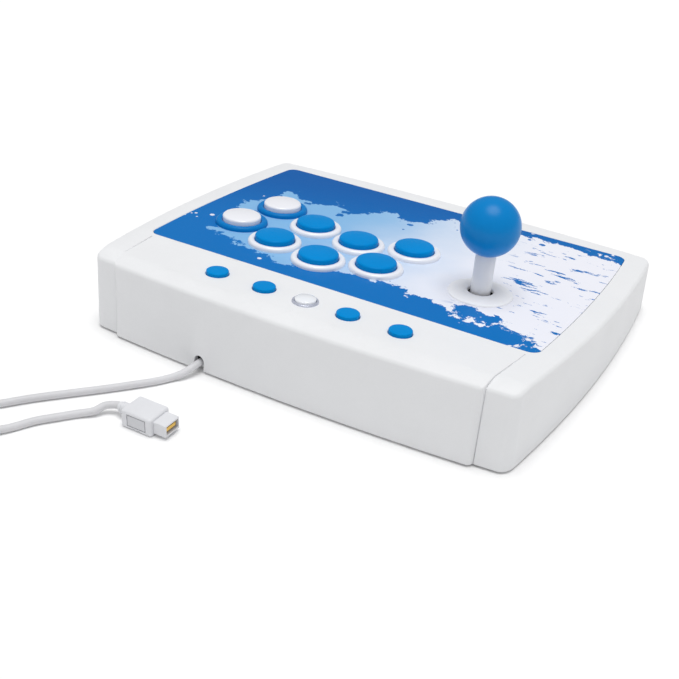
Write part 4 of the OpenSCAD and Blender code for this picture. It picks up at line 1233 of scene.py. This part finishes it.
@dataclass
class Cord:
    """The cord: out of the back wall, over the table to a tied coil, and back to the plug."""

    diameter: float = 4.3 * MM
    floor: float = 2.2 * MM
    exit_z: float = 5.85 * MM
    coil_at: Flat = (149 * MM, 259.6 * MM)
    coil_mid: float = 24.5 * MM
    turns: float = 4.7
    step: float = 4.85 * MM
    coil_low: float = 2.9 * MM
    coil_start: float = -84.0
    coil_steps: int = 36
    plug_end: Point = (54.8 * MM, 177.7 * MM, 5.5 * MM)
    wall_y: float = 119 * MM
    boot: float = 7 * MM

    def from_wall(self, points: tuple[Point, ...]) -> list[Vector]:
        """Chosen points, given in millimetres with y from the back wall."""
        return [Vector((x, y + self.wall_y / MM, z)) for x, y, z in points]

    def run_out(self) -> list[Vector]:
        """Chosen points from the clamp to the coil, in millimetres."""
        z, f = self.exit_z / MM, self.floor / MM
        return self.from_wall((
            (52.4, -17, z), (52.4, -9, z), (52.7, 0.6, z), (53.7, 6.6, 5), (56.2, 12, 3.4), (60.2, 17.5, f),
            (66.1, 26.5, f), (81.5, 44.9, f), (97.3, 62.3, f), (109.2, 75.7, f), (119.6, 89.1, f),
            (128.5, 99.5, f), (138.4, 107, f)))

    def run_back(self) -> list[Vector]:
        """Chosen points from the coil to the plug's boot, in millimetres."""
        f = self.floor / MM
        return self.from_wall((
            (111.4, 120.7, 5.5), (105.5, 111.8, 3.2), (99.6, 102.9, f), (93.2, 91, f), (86.8, 82.6, f),
            (79.4, 73.5, f), (72.9, 67.4, 3), (69.4, 61.8, 4.8)))

    def coil(self) -> list[Vector]:
        """The coil's points: a spiral in below, out again above, in millimetres."""
        step, low, (cx, cy) = self.step / MM, self.coil_low / MM, (c / MM for c in self.coil_at)
        inner = self.coil_mid / MM - self.turns / 4 * step
        count, out = round(self.coil_steps * self.turns), []
        for i in range(count + 1):
            turn = self.turns * i / count
            a = math.radians(self.coil_start + 360 * turn)
            climb = min(max((turn - self.turns / 2) * 2 + 0.5, 0), 1)
            r = inner + step * abs(turn - self.turns / 2)
            out.append(Vector((cx + r * math.cos(a), cy + r * math.sin(a),
                               low + step * climb * climb * (3 - 2 * climb))))
        return out

    @staticmethod
    def smooth(points: list[Vector], n: int) -> list[Vector]:
        """Points along a smooth curve through the given ones, n for each stretch."""
        out, last = [], len(points) - 1
        for i in range(last):
            a, b, c, d = points[max(i - 1, 0)], points[i], points[i + 1], points[min(i + 2, last)]
            for k in range(n + (i == last - 1)):
                t = k / n
                square, cube = (2 * a - 5 * b + 4 * c - d) * t * t, (3 * b - a - 3 * c + d) * t ** 3
                out.append(0.5 * (2 * b + (c - a) * t + square + cube))
        return out

    def centreline(self) -> list[Vector]:
        """The whole cord's centreline in millimetres."""
        coil = self.coil()
        into, away = (coil[1] - coil[0]).normalized(), (coil[-1] - coil[-2]).normalized()
        d, boot, end = self.diameter / MM, self.boot / MM, Vector(self.plug_end) / MM
        first = self.run_out() + [coil[0] - k * d * into for k in (3, 2, 1)]
        in_boot = [end + Vector((x, 0, 0)) for x in (boot + d / 2, boot, boot / 2, 0)]
        last = [coil[-1] + k * d * away for k in (1, 2, 3)] + self.run_back() + in_boot
        return self.smooth(first, 6) + coil + self.smooth(last, 6)

    def build(self) -> tuple[Piece, list[Vector]]:
        """Makes the cord as one curve and returns it with its centreline in metres."""
        line = [p * MM for p in self.centreline()]
        data = bpy.data.curves.new("cord", "CURVE")
        data.dimensions = "3D"
        spline = data.splines.new("POLY")
        spline.points.add(len(line) - 1)
        for point, at in zip(spline.points, line):
            point.co = (*at, 1.0)
        data.bevel_depth = self.diameter / 2
        data.bevel_resolution = 5
        data.use_fill_caps = True
        piece = put_in_scene("cord", data)
        dress(piece, Look.CORD, "housing", ("cord_run_out", "cord_coil", "cord_run_back"))
        return piece, line


@dataclass
class Plug:
    """The plug on the cord's end: a rounded body with two squeeze latches, a boot and an open nose."""

    cord: Cord
    length: float = 20 * MM
    width: float = 16.5 * MM
    height: float = 11 * MM
    edge: float = 1.5 * MM
    nose: float = 8 * MM
    nose_seat: float = 3 * MM
    nose_half: Flat = (6 * MM, 3.7 * MM)
    nose_wall: float = MM
    mouth_gap: float = 0.05 * MM
    latch_l: float = 11.6 * MM
    latch_h: float = 6.4 * MM
    latch_t: float = 1.6 * MM
    pocket: float = 2.6 * MM
    slot_deep: float = 0.35 * MM
    slot_x: tuple[Flat, ...] = ((3 * MM, 4.6 * MM), (6.6 * MM, 8.2 * MM))
    boot_bore: float = 2.25 * MM
    rib_x: tuple[float, ...] = (1.4 * MM, 2.6 * MM, 3.8 * MM, 5 * MM)
    rib_r: Flat = (3.02 * MM, 0.32 * MM)

    def side(self, s: int, out_by: float, in_by: float) -> tuple[float, float]:
        """The lower and upper Y of a piece on a side wall, from past the wall to inside it."""
        y = self.cord.plug_end[1]
        low, high = sorted((y + s * (self.width / 2 + out_by), y + s * (self.width / 2 - in_by)))
        return low, high

    def around(self, name: str, x0: float, x1: float, half: Flat) -> Piece:
        """A block along the plug's axis between two places, with half its width and half its height."""
        y, mid = self.cord.plug_end[1], self.height / 2
        return block(name, (x0, y - half[0], mid - half[1]), (x1, y + half[0], mid + half[1]))

    def cuts(self, x0: float, latch_x: float) -> list[Piece]:
        """Cutters for the latches' pockets, two slots below each, and the mouth that holds the nose."""
        mid, high, out = self.height / 2, self.latch_h / 2, []
        for s in (-1, 1):
            a, b = self.side(s, MM, self.pocket)
            out.append(block("pocket", (latch_x - 0.5 * MM, a, mid - high - 0.35 * MM),
                             (latch_x + self.latch_l + 0.3 * MM, b, mid + high + 0.55 * MM)))
            a, b = self.side(s, MM, self.slot_deep)
            out += [block("slot", (latch_x + p, a, MM), (latch_x + q, b, 1.5 * MM)) for p, q in self.slot_x]
        mouth = tuple(h + self.mouth_gap for h in self.nose_half)
        return out + [self.around("mouth", x0 - MM, x0 + self.nose_seat, mouth)]

    def boot(self, x: float, mid: float) -> Piece:
        """The tapered boot round the cord, behind the body."""
        turn = Matrix.Translation((x, self.cord.plug_end[1], mid)) @ Matrix.Rotation(math.pi / 2, 4, "Y")
        bore, end = self.boot_bore, self.cord.boot
        return lathe("plug_boot", [
            (bore, -MM), (3.75 * MM, -MM), (3.75 * MM, 0.6 * MM), (3.4 * MM, 2 * MM), (3.05 * MM, 4.4 * MM),
            (2.85 * MM, end - 0.3 * MM), (2.6 * MM, end), (bore, end)], turn, 48)

    def build(self) -> list[Piece]:
        """Makes the plug's pieces and returns those that lie on the cord."""
        x, y, _ = self.cord.plug_end
        x0, half, mid = x - self.length, self.width / 2, self.height / 2
        latch_x = x0 + self.nose_seat + MM
        body = block("plug_case", (x0, y - half, 0.0), (x, y + half, self.height))
        soften(body, self.edge, 5)
        carve(body, self.cuts(x0, latch_x))
        carve(body, [self.boot(x, mid)], "UNION")
        dress(body, Look.PLUG, "housing", ("plug_body",), crease=30.0)
        ribs = RingsOnPath().sweep("boot_ribs", [(x + k, y, mid) for k in self.rib_x], *self.rib_r, Look.PLUG)
        dress(ribs, Look.PLUG, "housing")
        nose = self.around("plug_shell", x0 - self.nose, x0 + self.nose_seat, self.nose_half)
        soften(nose, 0.5 * MM, 3)
        bore = tuple(h - self.nose_wall for h in self.nose_half)
        carve(nose, [self.around("mouth", x0 - self.nose - MM, x0 - MM, bore)])
        dress(nose, Look.PLUG, "housing", ("plug_nose",), crease=30.0)
        latches = [self.latch(latch_x, mid, 1, "latch_near"), self.latch(latch_x, mid, -1, "latch_far")]
        paint("plug_contacts", Look.GILT)
        return [body, ribs, nose, *latches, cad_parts["plug_contacts"]]

    def latch(self, x: float, mid: float, s: int, body: str) -> Piece:
        """One squeeze latch, plain as a pressed pad."""
        low, high = self.side(s, 0.0, self.latch_t)
        half_h = self.latch_h / 2
        pad = block(f"{body}_pad", (x, low, mid - half_h), (x + self.latch_l, high, mid + half_h))
        soften(pad, 0.35 * MM, 3)
        return dress(pad, Look.PLUG_TOP, body, (f"plug_{body}",), crease=30.0)


@dataclass
class CoilTie:
    """The plain strap round the coil."""

    cord: Cord
    angle: float = 60.0
    width: float = 7 * MM
    thick: float = 0.6 * MM
    gap: float = 0.3 * MM
    corner: float = 1.2 * MM

    def build(self) -> list[Piece]:
        """Makes the strap and returns it in a list."""
        c, r = self.cord, self.cord.diameter / 2
        inner = c.coil_mid - c.turns / 4 * c.step
        low, high = self.thick, c.coil_low + c.step + r + self.gap
        near, far = inner - r - self.gap, inner + c.step * c.turns / 2 + r + self.gap
        rings = []
        for grow in (self.thick, 0.0):
            half_x, corner = (far - near) / 2 + grow, self.corner + grow * 1.3
            pts = CaseForm.outline(half_x, low - grow, high + grow, corner, 6, 10)
            rings.append([(x + (far + near) / 2, z) for x, z, _ in pts])
        half = self.width / 2
        turn = Matrix.Translation((*c.coil_at, 0)) @ Matrix.Rotation(math.radians(self.angle), 4, "Z")
        loops = [[turn @ Vector((x, y, z)) for x, z in ring] for ring, y in
                 ((rings[0], -half), (rings[0], half), (rings[1], half), (rings[1], -half))]
        strap = ring_skin("tie_strap", loops, closed=True)
        bm = bmesh.new()
        bm.from_mesh(strap.data)
        bmesh.ops.recalc_face_normals(bm, faces=bm.faces)
        bm.to_mesh(strap.data)
        bm.free()
        return [dress(strap, Look.TIE, "housing", ("coil_tie",), crease=40.0)]


@dataclass
class Works:
    """The hidden works inside the case, which keep their solids."""

    looks: dict[Look, tuple[str, ...]] = field(default_factory=lambda: {
        Look.BLACK: ("button_nuts", "button_switches", "stick_housing", "stick_actuator", "stick_switches",
                     "cord_clamp"),
        Look.WORKS_WHITE: ("pivot_ring", "stick_hub", "stick_gate"),
        Look.STEEL: ("stick_shaft", "mount_plate", "mount_screws", "centring_spring", "e_clip", "menu_screws",
                     "board_screws"),
        Look.BOARD: ("menu_board", "main_board", "switch_board"),
        Look.SILICONE: ("key_membrane",),
    })

    def build(self) -> None:
        """Paints each node."""
        for look, nodes in self.looks.items():
            for node in nodes:
                paint(node, look)


@dataclass
class Studio:
    """The camera at the photograph's view, one soft lamp and a pale floor."""

    eye: Point = (-262.266 * MM, 542.781 * MM, 336.709 * MM)
    right: Point = (-0.86753705, -0.49455731, 0.05284447)
    up: Point = (0.29236455, -0.42111411, 0.85859529)
    back: Point = (-0.40237102, 0.76031308, 0.50992312)
    lens: float = 56.795
    sensor: float = 36.0
    lamp_from: Point = (-0.03, 0.02, 1.0)
    lamp_spread: float = 38.0
    lamp_power: float = 1.85
    floor_half: float = 6.0
    floor_greys: Flat = (249, 251)
    floor_glow: float = 0.015
    sky_light: float = 0.48
    sky_seen: float = 0.52
    sky_gloss: float = 0.25

    def camera(self) -> None:
        """Places the camera and makes it the scene's."""
        data = bpy.data.cameras.new("view")
        data.sensor_width, data.lens = self.sensor, self.lens
        data.clip_start, data.clip_end = 0.01, 50.0
        cam = put_in_scene("view", data)
        turn = Matrix((self.right, self.up, self.back)).transposed().to_4x4()
        cam.matrix_world = Matrix.Translation(self.eye) @ turn
        bpy.context.scene.camera = cam

    def lamp(self) -> None:
        """Adds one broad, far lamp above, which lights the floor evenly."""
        data = bpy.data.lights.new("soft_top", "SUN")
        data.angle, data.energy = math.radians(self.lamp_spread), self.lamp_power
        lamp = put_in_scene("soft_top", data)
        lamp.rotation_euler = Vector(self.lamp_from).to_track_quat("Z", "Y").to_euler()

    def floor(self) -> None:
        """Adds the pale floor, white to the camera outside the soft shadow."""
        half = self.floor_half
        plane = mesh_piece("floor", [(-half, -half, 0), (half, -half, 0), (half, half, 0), (-half, half, 0)],
                           [(0, 1, 2, 3)])
        mat, g, body, at = start_material("floor_pale")
        dim, bright = (linear(grey, grey, grey) for grey in self.floor_greys)
        g.set(body, Base_Color=g.blend(g.noise(at, 3.0), dim, bright), Roughness=0.9, Specular_IOR_Level=0.1)
        path = g.add("ShaderNodeLightPath")
        glow = g.add("ShaderNodeEmission", Color=(1, 1, 1, 1),
                     Strength=g.times(path.outputs["Is Camera Ray"], self.floor_glow))
        both = g.add("ShaderNodeAddShader")
        g.feed(both, 0, body.outputs[0])
        g.feed(both, 1, glow.outputs[0])
        g.feed(g.tree.nodes["Material Output"], "Surface", both.outputs[0])
        plane.data.materials.append(mat)

    def world(self) -> None:
        """Lights all round evenly, white where the camera looks past the floor."""
        world = bpy.data.worlds.new("studio")
        world.use_nodes = True
        bpy.context.scene.world = world
        g = Graph(world.node_tree)
        path = g.add("ShaderNodeLightPath")
        seen = g.math("MAXIMUM", path.outputs["Is Camera Ray"], path.outputs["Is Transmission Ray"])
        level = g.plus(self.sky_light, g.times(seen, self.sky_seen))
        gloss = g.times(path.outputs["Is Glossy Ray"], self.sky_gloss)
        g.set(g.tree.nodes["Background"], Color=(1, 1, 1, 1), Strength=g.minus(level, gloss))

    def build(self) -> None:
        """Sets up the whole studio."""
        self.camera()
        self.world()
        self.floor()
        self.lamp()
        bpy.context.scene.view_settings.view_transform = "Standard"


def main() -> None:
    """Builds every sub-assembly in order."""
    logging.basicConfig(level=logging.INFO, format="%(name)s: %(message)s")
    Studio().build()
    cord = Cord()
    cord_piece, line = cord.build()
    shape = CaseForm()
    on_cord = Plug(cord).build() + CoilTie(cord).build()
    length = sum((b - a).length for a, b in zip(line, line[1:]))
    tuple(line[0])
    log.info("cord length %.3f m", length)
    Case(shape).build()
    PushButtons(shape).build()
    SmallKeys(shape).build()
    BallStick(shape).build()
    Works().build()


if __name__ == "__main__":
    main()
